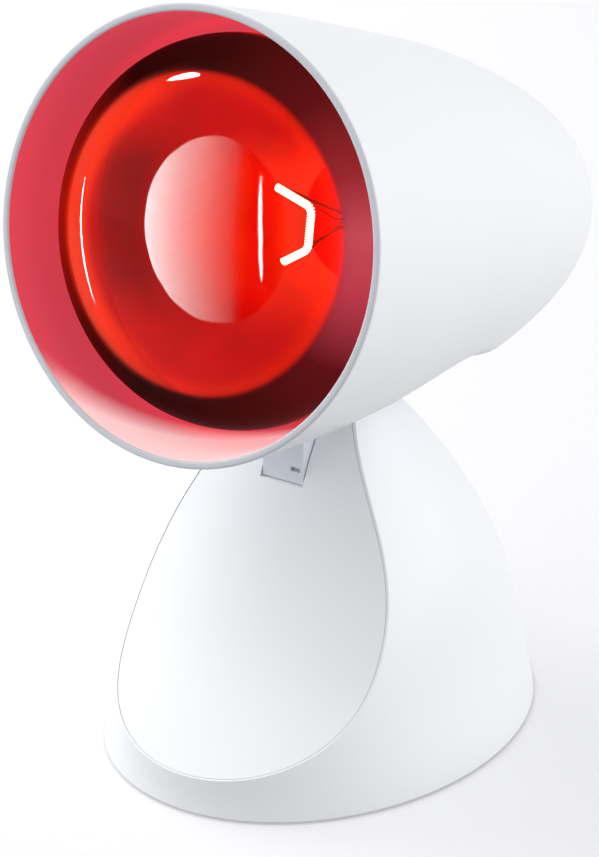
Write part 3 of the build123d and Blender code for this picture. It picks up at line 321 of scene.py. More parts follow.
# ---- Materials of the housing --------------------------------------------------------------------------------
def moulded_grain(tree, place, width, depth):
    """Bump of the texture that a spark-eroded mould leaves: a real one is finer, and is drawn coarser to show."""
    grain = add_node(tree, "ShaderNodeTexNoise", {"Scale": 1 / width, "Detail": 2.0}, {"Vector": place})
    return add_node(tree, "ShaderNodeBump", {"Strength": 0.25, "Distance": depth},
                    {"Height": grain.outputs["Fac"]})


def gloss_variation(tree, place, roughness, spread):
    """Roughness that wanders a little over patches 40 mm wide, as handled plastic does."""
    cloud = add_node(tree, "ShaderNodeTexNoise", {"Scale": 1 / (40 * MM), "Detail": 2.0}, {"Vector": place})
    return add_node(tree, "ShaderNodeMapRange", {"To Min": roughness - spread, "To Max": roughness + spread},
                    {"Value": cloud.outputs["Fac"]})


def satin_white_abs(housing):
    """Injection-moulded white ABS: an even, faintly cool white with a soft gloss."""
    material, tree, output = new_material("satin_white_abs")
    place = add_node(tree, "ShaderNodeTexCoord").outputs["Object"]
    bump = moulded_grain(tree, place, housing.grain, GRAIN_DEPTH)
    gloss = gloss_variation(tree, place, housing.roughness, GLOSS_SPREAD)
    shader = add_node(tree, "ShaderNodeBsdfPrincipled",
                      {"Base Color": (*housing.shell, 1), "IOR": 1.52, "Specular IOR Level": 0.3},
                      {"Roughness": gloss.outputs["Result"], "Normal": bump.outputs["Normal"]})
    tree.links.new(shader.outputs["BSDF"], output.inputs["Surface"])
    return material


def shade_abs(housing):
    """The shade's white ABS, with painted shade and light: its cut front edge painted greyer as shade, and its
    inside painted deep pink and glowing, as if lit by the bulb's red.
    """
    material, tree, output = new_material("moulded_shade_painted_light")
    place, along, across, rise, out = head_coordinates(tree)
    # inside of the shade: nearer the axis than the middle of the wall, and not the hollow over the stand
    share = add_node(tree, "ShaderNodeMath", {"operation": "DIVIDE", 1: HEAD_LENGTH}, {0: along})
    form = profile(tree, share.outputs[0], HEAD_FORM)
    middle = add_node(tree, "ShaderNodeMath", {"operation": "MULTIPLY_ADD", 1: RIM_RADIUS, 2: -HEAD_WALL / 2},
                      {0: form})
    within = add_node(tree, "ShaderNodeMath", {"operation": "LESS_THAN"}, {0: out, 1: middle.outputs[0]})
    from_pivot = add_node(tree, "ShaderNodeVectorMath", {"operation": "SUBTRACT", 1: PIVOT}, {0: place})
    in_plane = add_node(tree, "ShaderNodeVectorMath", {"operation": "MULTIPLY", 1: (0, 1, 1)},
                        {0: from_pivot.outputs["Vector"]})
    swing = add_node(tree, "ShaderNodeVectorMath", {"operation": "LENGTH"}, {0: in_plane.outputs["Vector"]})
    clear = add_node(tree, "ShaderNodeMath", {"operation": "GREATER_THAN", 1: SCOOP_RADIUS + HEAD_WALL / 2},
                     {0: swing.outputs["Value"]})
    behind_lip = add_node(tree, "ShaderNodeMath", {"operation": "GREATER_THAN", 1: PAINTED_LIGHT_FROM}, {0: along})
    inside = add_node(tree, "ShaderNodeMath", {"operation": "MULTIPLY"},
                      {0: within.outputs[0], 1: clear.outputs[0]})
    inside = add_node(tree, "ShaderNodeMath", {"operation": "MULTIPLY"},
                      {0: inside.outputs[0], 1: behind_lip.outputs[0]})
    # painted shade: the cut front edge is greyer
    lip = add_node(tree, "ShaderNodeMapRange",
                   {"From Min": PAINTED_LIP_SHADE_FADE[0], "From Max": PAINTED_LIP_SHADE_FADE[1], "To Min": 1, "To Max": 0}, {"Value": along})
    # painted light: low down behind the front edge the inside is painted paler, standing in for white light from
    # the table
    limit = add_node(tree, "ShaderNodeMath", {"operation": "MULTIPLY_ADD", 1: PAINTED_TABLE_LIGHT_SLOPE, 2: PAINTED_TABLE_LIGHT_REACH},
                     {0: across})
    short = add_node(tree, "ShaderNodeMath", {"operation": "SUBTRACT"}, {0: limit.outputs[0], 1: along})
    near = add_node(tree, "ShaderNodeMapRange", {"From Min": PAINTED_TABLE_LIGHT_FADE[0], "From Max": PAINTED_TABLE_LIGHT_FADE[1]},
                    {"Value": short.outputs[0]})
    low = add_node(tree, "ShaderNodeMapRange", {"From Min": PAINTED_TABLE_LIGHT_RISE[0], "From Max": PAINTED_TABLE_LIGHT_RISE[1]},
                   {"Value": rise})
    pale = add_node(tree, "ShaderNodeMath", {"operation": "MULTIPLY"},
                    {0: low.outputs["Result"], 1: near.outputs["Result"]})
    lit = add_node(tree, "ShaderNodeMix", {"data_type": "RGBA", 6: (*housing.lit, 1), 7: (*linear("#f0c2c2"), 1)},
                   {0: pale.outputs[0]})
    outside = add_node(tree, "ShaderNodeMix", {"data_type": "RGBA", 6: (*housing.shell, 1), 7: (*housing.lip, 1)},
                       {0: lip.outputs["Result"]})
    colour = add_node(tree, "ShaderNodeMix", {"data_type": "RGBA"},
                      {0: inside.outputs[0], 6: outside.outputs[2], 7: lit.outputs[2]})
    # painted glow: the inside gives out pink-red light of its own, standing in for the bulb's light on it
    painted_glow = add_node(tree, "ShaderNodeMath", {"operation": "MULTIPLY", 1: PAINTED_LIGHT_GLOW}, {0: inside.outputs[0]})
    bump = moulded_grain(tree, place, housing.grain, GRAIN_DEPTH)
    gloss = gloss_variation(tree, place, housing.roughness, GLOSS_SPREAD)
    shader = add_node(tree, "ShaderNodeBsdfPrincipled", {"IOR": 1.52, "Specular IOR Level": 0.15},
                      {"Base Color": colour.outputs[2], "Roughness": gloss.outputs["Result"],
                       "Normal": bump.outputs["Normal"], "Emission Color": lit.outputs[2],
                       "Emission Strength": painted_glow.outputs[0]})
    tree.links.new(shader.outputs["BSDF"], output.inputs["Surface"])
    return material


def plain_moulding(name, colour, roughness, grain, depth, fleck=0.0):
    """A moulded plastic or rubber of one colour, with the grain of its mould and a little fleck."""
    material, tree, output = new_material(name)
    place = add_node(tree, "ShaderNodeTexCoord").outputs["Object"]
    bump = moulded_grain(tree, place, grain, depth)
    gloss = gloss_variation(tree, place, roughness, 0.05)
    speck = add_node(tree, "ShaderNodeTexNoise", {"Scale": 0.7 / grain, "Detail": 3.0}, {"Vector": place})
    pale = tuple(min(1.0, c * (1 + fleck) + 0.3 * fleck) for c in linear(colour))
    tone = add_node(tree, "ShaderNodeMix", {"data_type": "RGBA", 6: (*linear(colour), 1), 7: (*pale, 1)},
                    {0: speck.outputs["Fac"]})
    shader = add_node(tree, "ShaderNodeBsdfPrincipled", {"IOR": 1.5},
                      {"Base Color": tone.outputs[2], "Roughness": gloss.outputs["Result"],
                       "Normal": bump.outputs["Normal"]})
    tree.links.new(shader.outputs["BSDF"], output.inputs["Surface"])
    return material


def marked_rocker():
    """Polished black polyamide with the on bar and the off ring printed in white."""
    material, tree, output = new_material("printed_black_polyamide")
    place = add_node(tree, "ShaderNodeTexCoord").outputs["Object"]
    from_pin = add_node(tree, "ShaderNodeVectorMath", {"operation": "SUBTRACT", 1: ROCKER_PIN}, {0: place})
    rise = add_node(tree, "ShaderNodeVectorMath", {"operation": "DOT_PRODUCT", 1: ROCKER_UP},
                    {0: from_pin.outputs["Vector"]})
    split = add_node(tree, "ShaderNodeSeparateXYZ", {}, {"Vector": from_pin.outputs["Vector"]})
    to_bar = add_node(tree, "ShaderNodeMath", {"operation": "ADD", 1: MARK_OFFSET}, {0: split.outputs["X"]})
    to_bar = add_node(tree, "ShaderNodeCombineXYZ", {}, {"X": to_bar.outputs[0], "Y": rise.outputs["Value"]})
    across_bar = add_node(tree, "ShaderNodeVectorMath",
                          {"operation": "MULTIPLY", 1: (1 / ON_BAR_HALF_WIDTH, 1 / ON_BAR_HALF_HEIGHT, 0)},
                          {0: to_bar.outputs["Vector"]})
    size = add_node(tree, "ShaderNodeVectorMath", {"operation": "ABSOLUTE"}, {0: across_bar.outputs["Vector"]})
    sides = add_node(tree, "ShaderNodeSeparateXYZ", {}, {"Vector": size.outputs["Vector"]})
    worst = add_node(tree, "ShaderNodeMath", {"operation": "MAXIMUM"},
                     {0: sides.outputs["X"], 1: sides.outputs["Y"]})
    bar = add_node(tree, "ShaderNodeMath", {"operation": "LESS_THAN", 1: MM}, {0: worst.outputs[0]})
    to_ring = add_node(tree, "ShaderNodeMath", {"operation": "SUBTRACT", 1: MARK_OFFSET}, {0: split.outputs["X"]})
    to_ring = add_node(tree, "ShaderNodeCombineXYZ", {}, {"X": to_ring.outputs[0], "Y": rise.outputs["Value"]})
    reach = add_node(tree, "ShaderNodeVectorMath", {"operation": "LENGTH"}, {0: to_ring.outputs["Vector"]})
    ring = add_node(tree, "ShaderNodeMath",
                    {"operation": "COMPARE", 1: OFF_RING_RADIUS, 2: OFF_RING_HALF_WIDTH},
                    {0: reach.outputs["Value"]})
    mark = add_node(tree, "ShaderNodeMath", {"operation": "MAXIMUM"}, {0: bar.outputs[0], 1: ring.outputs[0]})
    colour = add_node(tree, "ShaderNodeMix",
                      {"data_type": "RGBA", 6: (*linear("#141416"), 1), 7: (*linear("#e8e8e6"), 1)},
                      {0: mark.outputs[0]})
    bump = moulded_grain(tree, place, 0.5 * MM, GRAIN_DEPTH)
    gloss = gloss_variation(tree, place, 0.2, 0.05)
    shader = add_node(tree, "ShaderNodeBsdfPrincipled", {"IOR": 1.5},
                      {"Base Color": colour.outputs[2], "Roughness": gloss.outputs["Result"],
                       "Normal": bump.outputs["Normal"]})
    tree.links.new(shader.outputs["BSDF"], output.inputs["Surface"])
    return material


def worked_metal(name, colour, roughness, grit, stretch=(1, 1, 1), depth=0.004 * MM):
    """A metal with the marks of how it was made, scratches or brush lines, drawn coarse enough to show."""
    material, tree, output = new_material(name)
    place = add_node(tree, "ShaderNodeTexCoord")
    drawn = add_node(tree, "ShaderNodeMapping", {"Scale": stretch}, {"Vector": place.outputs["Object"]})
    marks = add_node(tree, "ShaderNodeTexNoise", {"Scale": 1 / grit, "Detail": 4.0, "Roughness": 0.7},
                     {"Vector": drawn.outputs["Vector"]})
    gloss = add_node(tree, "ShaderNodeMapRange", {"To Min": 0.7 * roughness, "To Max": 1.3 * roughness},
                     {"Value": marks.outputs["Fac"]})
    bump = add_node(tree, "ShaderNodeBump", {"Strength": 0.3, "Distance": depth}, {"Height": marks.outputs["Fac"]})
    shader = add_node(tree, "ShaderNodeBsdfPrincipled", {"Base Color": (*linear(colour), 1), "Metallic": 1.0},
                      {"Roughness": gloss.outputs["Result"], "Normal": bump.outputs["Normal"]})
    tree.links.new(shader.outputs["BSDF"], output.inputs["Surface"])
    return material


# ---- Materials of the bulb -----------------------------------------------------------------------------------
def face_normal(tree, across, rise, out, along):
    """Normal of the bulb's even, pressed face, and the mesh's own normal behind it."""
    lean = profile(tree, out, [(place, degrees / 90) for place, degrees in FACE_LEAN], MM)
    lean = add_node(tree, "ShaderNodeMath", {"operation": "MULTIPLY", 1: math.pi / 2}, {0: lean})
    sine = add_node(tree, "ShaderNodeMath", {"operation": "SINE"}, {0: lean.outputs[0]})
    cosine = add_node(tree, "ShaderNodeMath", {"operation": "COSINE"}, {0: lean.outputs[0]})
    sideways = add_node(tree, "ShaderNodeCombineXYZ", {}, {"X": across})
    upward = add_node(tree, "ShaderNodeVectorMath", {"operation": "SCALE", 0: UP}, {"Scale": rise})
    outward = add_node(tree, "ShaderNodeVectorMath", {"operation": "ADD"},
                       {0: sideways.outputs["Vector"], 1: upward.outputs["Vector"]})
    outward = add_node(tree, "ShaderNodeVectorMath", {"operation": "NORMALIZE"}, {0: outward.outputs["Vector"]})
    outward = add_node(tree, "ShaderNodeVectorMath", {"operation": "SCALE"},
                       {0: outward.outputs["Vector"], "Scale": sine.outputs[0]})
    forward = add_node(tree, "ShaderNodeVectorMath", {"operation": "SCALE", 0: -BACK},
                       {"Scale": cosine.outputs[0]})
    ideal = add_node(tree, "ShaderNodeVectorMath", {"operation": "ADD"},
                     {0: outward.outputs["Vector"], 1: forward.outputs["Vector"]})
    turned = add_node(tree, "ShaderNodeVectorTransform",
                      {"vector_type": "NORMAL", "convert_from": "OBJECT", "convert_to": "WORLD"},
                      {"Vector": ideal.outputs["Vector"]})
    # seen from inside the glass, the mesh's own normal is turned round, and this one has to follow it
    own = add_node(tree, "ShaderNodeNewGeometry").outputs["Normal"]
    same = add_node(tree, "ShaderNodeVectorMath", {"operation": "DOT_PRODUCT"},
                    {0: turned.outputs["Vector"], 1: own})
    sign = add_node(tree, "ShaderNodeMath", {"operation": "SIGN"}, {0: same.outputs["Value"]})
    facing = add_node(tree, "ShaderNodeVectorMath", {"operation": "SCALE"},
                      {0: turned.outputs["Vector"], "Scale": sign.outputs[0]})
    front = add_node(tree, "ShaderNodeMapRange", {"From Min": FACE_FADE[0] * MM, "From Max": FACE_FADE[1] * MM},
                     {"Value": along})
    mixed = add_node(tree, "ShaderNodeMix", {"data_type": "VECTOR"},
                     {0: front.outputs["Result"], 4: own, 5: facing.outputs["Vector"]})
    normal = add_node(tree, "ShaderNodeVectorMath", {"operation": "NORMALIZE"}, {0: mixed.outputs[1]})
    return normal.outputs["Vector"]


def ruby_glass(bulb):
    """Pressed ruby glass: clear red on its face, a painted glow ring at its edge, and painted shade, near black,
    with painted reflections where it turns away.
    """
    material, tree, output = new_material("pressed_ruby_glass_painted_light")
    place, along, across, rise, out = head_coordinates(tree)
    # painted glow: the ring where the face turns down to the shoulder glows with the filament's light caught in it,
    #     broad at -X, thin elsewhere
    shift, lift = (
        add_node(tree, "ShaderNodeMath", {"operation": "MULTIPLY_ADD", 1: stretch, 2: moved * MM}, {0: measure})
        for measure, stretch, moved in zip((across, rise), PAINTED_GLOW_RING_STRETCH, PAINTED_GLOW_RING_SHIFT))
    flat = add_node(tree, "ShaderNodeCombineXYZ", {}, {"X": shift.outputs[0], "Y": lift.outputs[0]})
    ring = add_node(tree, "ShaderNodeVectorMath", {"operation": "LENGTH"}, {0: flat.outputs["Vector"]})
    broad = profile(tree, ring.outputs["Value"], PAINTED_GLOW_RING_BROAD, MM)
    thin = profile(tree, ring.outputs["Value"], PAINTED_GLOW_RING_THIN, MM)
    side = add_node(tree, "ShaderNodeMapRange",
                    {"From Min": PAINTED_GLOW_RING_TURN[0] * MM, "From Max": PAINTED_GLOW_RING_TURN[1] * MM}, {"Value": across})
    glow = add_node(tree, "ShaderNodeMix", {"data_type": "FLOAT"}, {0: side.outputs["Result"], 2: thin, 3: broad})
    # painted shade and reflection on the shoulder behind it: a near opaque dark glass, and colours near black above
    #     and below, redder and pink at the sides
    beyond = profile(tree, ring.outputs["Value"], SHOULDER, MM)
    turn = add_node(tree, "ShaderNodeMath", {"operation": "ARCTAN2"}, {0: rise, 1: across})
    shoulder = shades(tree, turn.outputs[0], -math.pi, math.pi, SHOULDER_PAINTED_SHADE_AND_REFLECTION)
    # the wall of the bowl ahead of the silvering, and the neck, get a plain deep red painted glow
    bowl = profile(tree, along, BARE_WALL, MM)
    edge = add_node(tree, "ShaderNodeMix", {"data_type": "RGBA", 6: (*linear("#000000"), 1)},
                    {0: beyond, 7: shoulder})
    painted_glow = add_node(tree, "ShaderNodeMix", {"data_type": "RGBA", 7: (*bulb.glow, 1)},
                    {0: glow.outputs[0], 6: edge.outputs[2]})
    hot = add_node(tree, "ShaderNodeMix", {"data_type": "RGBA", 7: (*linear("#c01c08"), 1)},
                   {0: bowl, 6: painted_glow.outputs[2]})
    # painted shade: the ring and the shoulder take a darker tint
    painted_dark = add_node(tree, "ShaderNodeMath", {"operation": "MULTIPLY", 1: 0.9}, {0: glow.outputs[0]})
    painted_dark = add_node(tree, "ShaderNodeMath", {"operation": "MAXIMUM"}, {0: painted_dark.outputs[0], 1: beyond})
    tint = add_node(tree, "ShaderNodeMix", {"data_type": "RGBA", 6: (*bulb.ruby, 1), 7: (*linear("#2a0403"), 1)},
                    {0: painted_dark.outputs[0]})
    # slow waves, about 17 mm long, that pressing leaves
    ripple = add_node(tree, "ShaderNodeTexNoise", {"Scale": 60.0, "Detail": 1.0}, {"Vector": place})
    bump = add_node(tree, "ShaderNodeBump", {"Strength": 0.05, "Distance": 0.2 * MM},
                    {"Height": ripple.outputs["Fac"], "Normal": face_normal(tree, across, rise, out, along)})
    clear = add_node(tree, "ShaderNodeBsdfPrincipled",
                     {"IOR": 1.5, "Transmission Weight": 1.0, "Roughness": 0.01,
                      "Specular Tint": (*linear("#454545"), 1), "Emission Strength": 1.0},
                     {"Base Color": tint.outputs[2], "Normal": bump.outputs["Normal"],
                      "Emission Color": hot.outputs[2]})
    # painted shade: a dark, near opaque glass on the shoulder
    painted_dark_glass = add_node(tree, "ShaderNodeBsdfPrincipled",
                     {"Base Color": (*linear("#140202"), 1), "Roughness": 0.25, "Specular IOR Level": 0.0,
                      "Emission Strength": 1.0}, {"Emission Color": hot.outputs[2]})
    share = add_node(tree, "ShaderNodeMath", {"operation": "MULTIPLY", 1: 0.9}, {0: beyond})
    glass = add_node(tree, "ShaderNodeMixShader", {},
                     {0: share.outputs[0], 1: clear.outputs[0], 2: painted_dark_glass.outputs[0]})
    tree.links.new(glass.outputs[0], output.inputs["Surface"])
    return material


def reflector_painted_glow():
    """Aluminium that was deposited as vapour inside the bulb, with painted light: its reflections of the filament's
    red and orange light are painted as a glow.
    """
    material, tree, output = new_material("vapour_deposited_aluminium_painted_glow")
    place, along, _, rise, _ = head_coordinates(tree)
    # painted reflections: clouds about 14 mm wide, drawn out up and down, vary the painted glow
    streaks = add_node(tree, "ShaderNodeMapping", {"Scale": (1, 1, 0.35)}, {"Vector": place})
    cloud = add_node(tree, "ShaderNodeTexNoise", {"Scale": 70.0, "Detail": 3.0, "Roughness": 0.6},
                     {"Vector": streaks.outputs["Vector"]})
    # painted glow by depth: a painted dark band of shade behind the ring, then red, then orange towards the neck
    deep = shades(tree, along, MIRROR_DEPTH[0] * MM, MIRROR_DEPTH[1] * MM, MIRROR_PAINTED_GLOW)
    # above and below the axis the painted dark band is lighter
    side = add_node(tree, "ShaderNodeMath", {"operation": "ADD", 1: PAINTED_BAND_DROP * MM}, {0: rise})
    side = add_node(tree, "ShaderNodeMath", {"operation": "ABSOLUTE"}, {0: side.outputs[0]})
    open_up = add_node(tree, "ShaderNodeMapRange", {"From Min": PAINTED_BAND_END[0] * MM, "From Max": PAINTED_BAND_END[1] * MM},
                       {"Value": side.outputs[0]})
    colour = add_node(tree, "ShaderNodeMix", {"data_type": "RGBA", 7: (*linear("#b83a3e"), 1)},
                      {0: open_up.outputs["Result"], 6: deep})
    level = add_node(tree, "ShaderNodeMapRange", {"From Min": 0.3, "From Max": 0.7, "To Min": 0.68, "To Max": 1.0},
                     {"Value": cloud.outputs["Fac"]})
    shader = add_node(tree, "ShaderNodeBsdfPrincipled",
                      {"Base Color": (*linear("#a02018"), 1), "Metallic": 1.0, "Roughness": 0.35},
                      {"Emission Color": colour.outputs[2], "Emission Strength": level.outputs["Result"]})
    tree.links.new(shader.outputs["BSDF"], output.inputs["Surface"])
    return material


def glowing_tungsten(bulb):
    """Coiled tungsten wire at working heat: it gives light and shows little of its own colour."""
    material, tree, output = new_material("glowing_tungsten")
    place = add_node(tree, "ShaderNodeTexCoord").outputs["Object"]
    # hot and less hot places about 1 mm apart
    spots = add_node(tree, "ShaderNodeTexNoise", {"Scale": 900.0}, {"Vector": place})
    heat = add_node(tree, "ShaderNodeMapRange", {"To Min": 0.85 * bulb.heat, "To Max": 1.15 * bulb.heat},
                    {"Value": spots.outputs["Fac"]})
    shader = add_node(tree, "ShaderNodeBsdfPrincipled",
                      {"Base Color": (*linear("#8a8580"), 1), "Metallic": 1.0, "Roughness": 0.5,
                       "Emission Color": (*linear("#fff0e6"), 1)},
                      {"Emission Strength": heat.outputs["Result"]})
    tree.links.new(shader.outputs["BSDF"], output.inputs["Surface"])
    return material


def clear_glass():
    """Lead-free stem glass, drawn and pinched by flame: clear, with slow ripples."""
    material, tree, output = new_material("flame_worked_glass")
    place = add_node(tree, "ShaderNodeTexCoord").outputs["Object"]
    # ripples about 6 mm long
    ripple = add_node(tree, "ShaderNodeTexNoise", {"Scale": 180.0}, {"Vector": place})
    bump = add_node(tree, "ShaderNodeBump", {"Strength": 0.2, "Distance": 0.2 * MM},
                    {"Height": ripple.outputs["Fac"]})
    shader = add_node(tree, "ShaderNodeBsdfPrincipled",
                      {"Base Color": (*linear("#f0f4f0"), 1), "Transmission Weight": 1.0, "IOR": 1.52,
                       "Roughness": 0.03}, {"Normal": bump.outputs["Normal"]})
    tree.links.new(shader.outputs["BSDF"], output.inputs["Surface"])
    return material


def black_vitrite():
    """Black glass poured between the cap and its contact: shiny, with a few pits."""
    material, tree, output = new_material("black_vitrite")
    place = add_node(tree, "ShaderNodeTexCoord").outputs["Object"]
    pits = add_node(tree, "ShaderNodeTexVoronoi", {"Scale": 1 / (2 * MM)}, {"Vector": place})
    bump = add_node(tree, "ShaderNodeBump", {"Strength": 0.3, "Distance": 0.05 * MM},
                    {"Height": pits.outputs["Distance"]})
    shader = add_node(tree, "ShaderNodeBsdfPrincipled",
                      {"Base Color": (*linear("#16151a"), 1), "Roughness": 0.12, "IOR": 1.6},
                      {"Normal": bump.outputs["Normal"]})
    tree.links.new(shader.outputs["BSDF"], output.inputs["Surface"])
    return material


# ---- Operators -----------------------------------------------------------------------------------------------
class HEATLAMP_OT_housing(bpy.types.Operator):
    """Finish the white mouldings: shade, rear cap, stand and arm"""
    bl_idname = "heat_lamp.housing"
    bl_label = "Housing"

    def execute(self, context):
        housing = context.scene.heat_lamp_housing
        dress(["head_shell"], shade_abs(housing))
        dress(["rear_vent_cap", "stand_rear_shell", "stand_front_cover"], satin_white_abs(housing))
        # painted shade: the arm is white ABS, drawn greyer where it sits in the shade of the stand and head
        dress(["tilt_arm"], plain_moulding("shaded_white_abs", "#dadee6", 0.36, 0.5 * MM, GRAIN_DEPTH))
        dress(["base_plate", "pivot_chassis"],
              plain_moulding("natural_abs", "#d2d4d8", 0.5, 0.6 * MM, 0.03 * MM, 0.02))
        dress(["rubber_feet"], plain_moulding("moulded_rubber", "#2b2b2d", 0.75, 0.3 * MM, 0.05 * MM, 0.2))
        return {"FINISHED"}


class HEATLAMP_OT_hardware(bpy.types.Operator):
    """Finish the screws, the pivot and the springs"""
    bl_idname = "heat_lamp.hardware"
    bl_label = "Screws, pivot and springs"

    def execute(self, context):
        zinc = worked_metal("zinc_plated_steel", "#c9cbd0", 0.3, 0.25 * MM)
        dress(["base_screws", "chassis_screws", "arm_screws", "bracket_screws", "holder_screws", "spring_screw",
               "pivot_bolt", "pivot_nut"], zinc)
        spring = worked_metal("cold_rolled_spring_steel", "#a9acb2", 0.25, 0.2 * MM, (1, 6, 6))
        dress(["friction_washers", "detent_spring", "lampholder_bracket"], spring)
        return {"FINISHED"}


class HEATLAMP_OT_electrics(bpy.types.Operator):
    """Finish the switch, the cord inlet, the terminal block and the lampholder"""
    bl_idname = "heat_lamp.electrics"
    bl_label = "Switch, inlet and lampholder"

    def execute(self, context):
        dress(["cord_grommet"], plain_moulding("soft_black_pvc", "#1c1c1e", 0.55, 0.4 * MM, 0.03 * MM, 0.1))
        dress(["switch_housing"], plain_moulding("black_polyamide", "#18181a", 0.45, 0.35 * MM, 0.04 * MM, 0.1))
        dress(["switch_rocker"], marked_rocker())
        dress(["terminal_block"], plain_moulding("natural_polyamide", "#e6e2d6", 0.4, 0.5 * MM, 0.03 * MM, 0.03))
        dress(["lampholder_body"], plain_moulding("unglazed_steatite", "#e4ddd0", 0.7, 0.25 * MM, 0.08 * MM, 0.06))
        brass = worked_metal("stamped_brass", "#d9b46a", 0.28, 0.3 * MM)
        dress(["lampholder_sleeve", "lampholder_contact", "bulb_contact"], brass)
        return {"FINISHED"}


class HEATLAMP_OT_bulb(bpy.types.Operator):
    """Finish the reflector bulb: ruby glass, mirror, cap, stem and wires"""
    bl_idname = "heat_lamp.bulb"
    bl_label = "Bulb"

    def execute(self, context):
        bulb = context.scene.heat_lamp_bulb
        dress(["bulb_glass"], ruby_glass(bulb))
        dress(["bulb_mirror"], reflector_painted_glow())
        dress(["bulb_stem"], clear_glass())
        dress(["bulb_insulator"], black_vitrite())
        dress(["bulb_screw_cap"], worked_metal("rolled_aluminium", "#d6d7d9", 0.3, 0.3 * MM))
        dress(["filament_leads", "filament_supports"], worked_metal("drawn_nickel", "#b5b2ac", 0.3, 0.2 * MM))
        return {"FINISHED"}


def coil_tree(bulb, material):
    """Geometry nodes that wind a wire round the path of the filament."""
    tree = bpy.data.node_groups.new("wound_filament", "GeometryNodeTree")
    tree.interface.new_socket("Path", in_out="INPUT", socket_type="NodeSocketGeometry")
    sockets = {}
    for name, value in (("Bend", FILAMENT_BEND * MM), ("Coil radius", bulb.coil_radius),
                        ("Pitch", bulb.coil_pitch), ("Wire radius", bulb.wire_radius)):
        socket = tree.interface.new_socket(name, in_out="INPUT", socket_type="NodeSocketFloat")
        socket.default_value = value
        sockets[name] = (socket.identifier, value)
    tree.interface.new_socket("Wire", in_out="OUTPUT", socket_type="NodeSocketGeometry")
    given = add_node(tree, "NodeGroupInput")
    rounded = add_node(tree, "GeometryNodeFilletCurve", {"mode": "POLY", "Count": 8},
                       {"Curve": given.outputs["Path"], "Radius": given.outputs["Bend"]})
    step = add_node(tree, "ShaderNodeMath", {"operation": "DIVIDE", 1: POINTS_PER_TURN},
                    {0: given.outputs["Pitch"]})
    even = add_node(tree, "GeometryNodeResampleCurve", {"mode": "LENGTH"},
                    {"Curve": rounded.outputs["Curve"], "Length": step.outputs[0]})
    run = add_node(tree, "GeometryNodeSplineParameter")
    turns = add_node(tree, "ShaderNodeMath", {"operation": "DIVIDE"},
                     {0: run.outputs["Length"], 1: given.outputs["Pitch"]})
    angle = add_node(tree, "ShaderNodeMath", {"operation": "MULTIPLY", 1: math.tau}, {0: turns.outputs[0]})
    sine = add_node(tree, "ShaderNodeMath", {"operation": "SINE"}, {0: angle.outputs[0]})
    cosine = add_node(tree, "ShaderNodeMath", {"operation": "COSINE"}, {0: angle.outputs[0]})
    tangent = add_node(tree, "GeometryNodeInputTangent")
    across = add_node(tree, "ShaderNodeVectorMath", {"operation": "CROSS_PRODUCT", 1: BACK},
                      {0: tangent.outputs["Tangent"]})
    across = add_node(tree, "ShaderNodeVectorMath", {"operation": "NORMALIZE"}, {0: across.outputs["Vector"]})
    sideways = add_node(tree, "ShaderNodeVectorMath", {"operation": "SCALE"},
                        {0: across.outputs["Vector"], "Scale": sine.outputs[0]})
    along = add_node(tree, "ShaderNodeVectorMath", {"operation": "SCALE", 0: BACK},
                     {"Scale": cosine.outputs[0]})
    both = add_node(tree, "ShaderNodeVectorMath", {"operation": "ADD"},
                    {0: sideways.outputs["Vector"], 1: along.outputs["Vector"]})
    offset = add_node(tree, "ShaderNodeVectorMath", {"operation": "SCALE"},
                      {0: both.outputs["Vector"], "Scale": given.outputs["Coil radius"]})
    wound = add_node(tree, "GeometryNodeSetPosition", {},
                     {"Geometry": even.outputs["Curve"], "Offset": offset.outputs["Vector"]})
    section = add_node(tree, "GeometryNodeCurvePrimitiveCircle", {"Resolution": 8},
                       {"Radius": given.outputs["Wire radius"]})
    wire = add_node(tree, "GeometryNodeCurveToMesh", {"Fill Caps": True},
                    {"Curve": wound.outputs["Geometry"], "Profile Curve": section.outputs["Curve"]})
    real = add_node(tree, "GeometryNodeRealizeInstances", {}, {"Geometry": wire.outputs["Mesh"]})
    painted = add_node(tree, "GeometryNodeSetMaterial", {"Material": material},
                       {"Geometry": real.outputs["Geometry"]})
    add_node(tree, "NodeGroupOutput", {}, {"Wire": painted.outputs["Geometry"]})
    return tree, sockets


def run_tree(source, tree, sockets):
    """The plain mesh that a geometry tree makes on an object, with its inputs set by their sockets."""
    modifier = source.modifiers.new(tree.name, "NODES")
    modifier.node_group = tree
    for identifier, value in sockets.values():
        modifier[identifier] = value
    evaluated = source.evaluated_get(bpy.context.evaluated_depsgraph_get())
    mesh = bpy.data.meshes.new_from_object(evaluated)
    source.modifiers.remove(modifier)
    return mesh


class HEATLAMP_OT_filament(bpy.types.Operator):
    """Wind the filament's coil round its path"""
    bl_idname = "heat_lamp.filament"
    bl_label = "Filament coil"

    def execute(self, context):
        bulb = context.scene.heat_lamp_bulb
        material = glowing_tungsten(bulb)
        path = bpy.data.curves.new("filament_path", "CURVE")
        path.dimensions = "3D"
        line = path.splines.new("POLY")
        points = [head_point(FILAMENT_DEPTH, *hung) for hung in FILAMENT_HANG]
        line.points.add(len(points) - 1)
        for spot, place in zip(line.points, points):
            spot.co = (*place, 1)
        guide = bpy.data.objects.new("filament_path", path)
        context.scene.collection.objects.link(guide)
        tree, sockets = coil_tree(bulb, material)
        mesh = run_tree(guide, tree, sockets)
        bpy.data.objects.remove(guide)
        mesh.shade_smooth()
        coil = link_piece("filament_coil", mesh, material, "head")
        coil.visible_diffuse = False
        coil.visible_glossy = False
        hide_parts("filament")
        return {"FINISHED"}


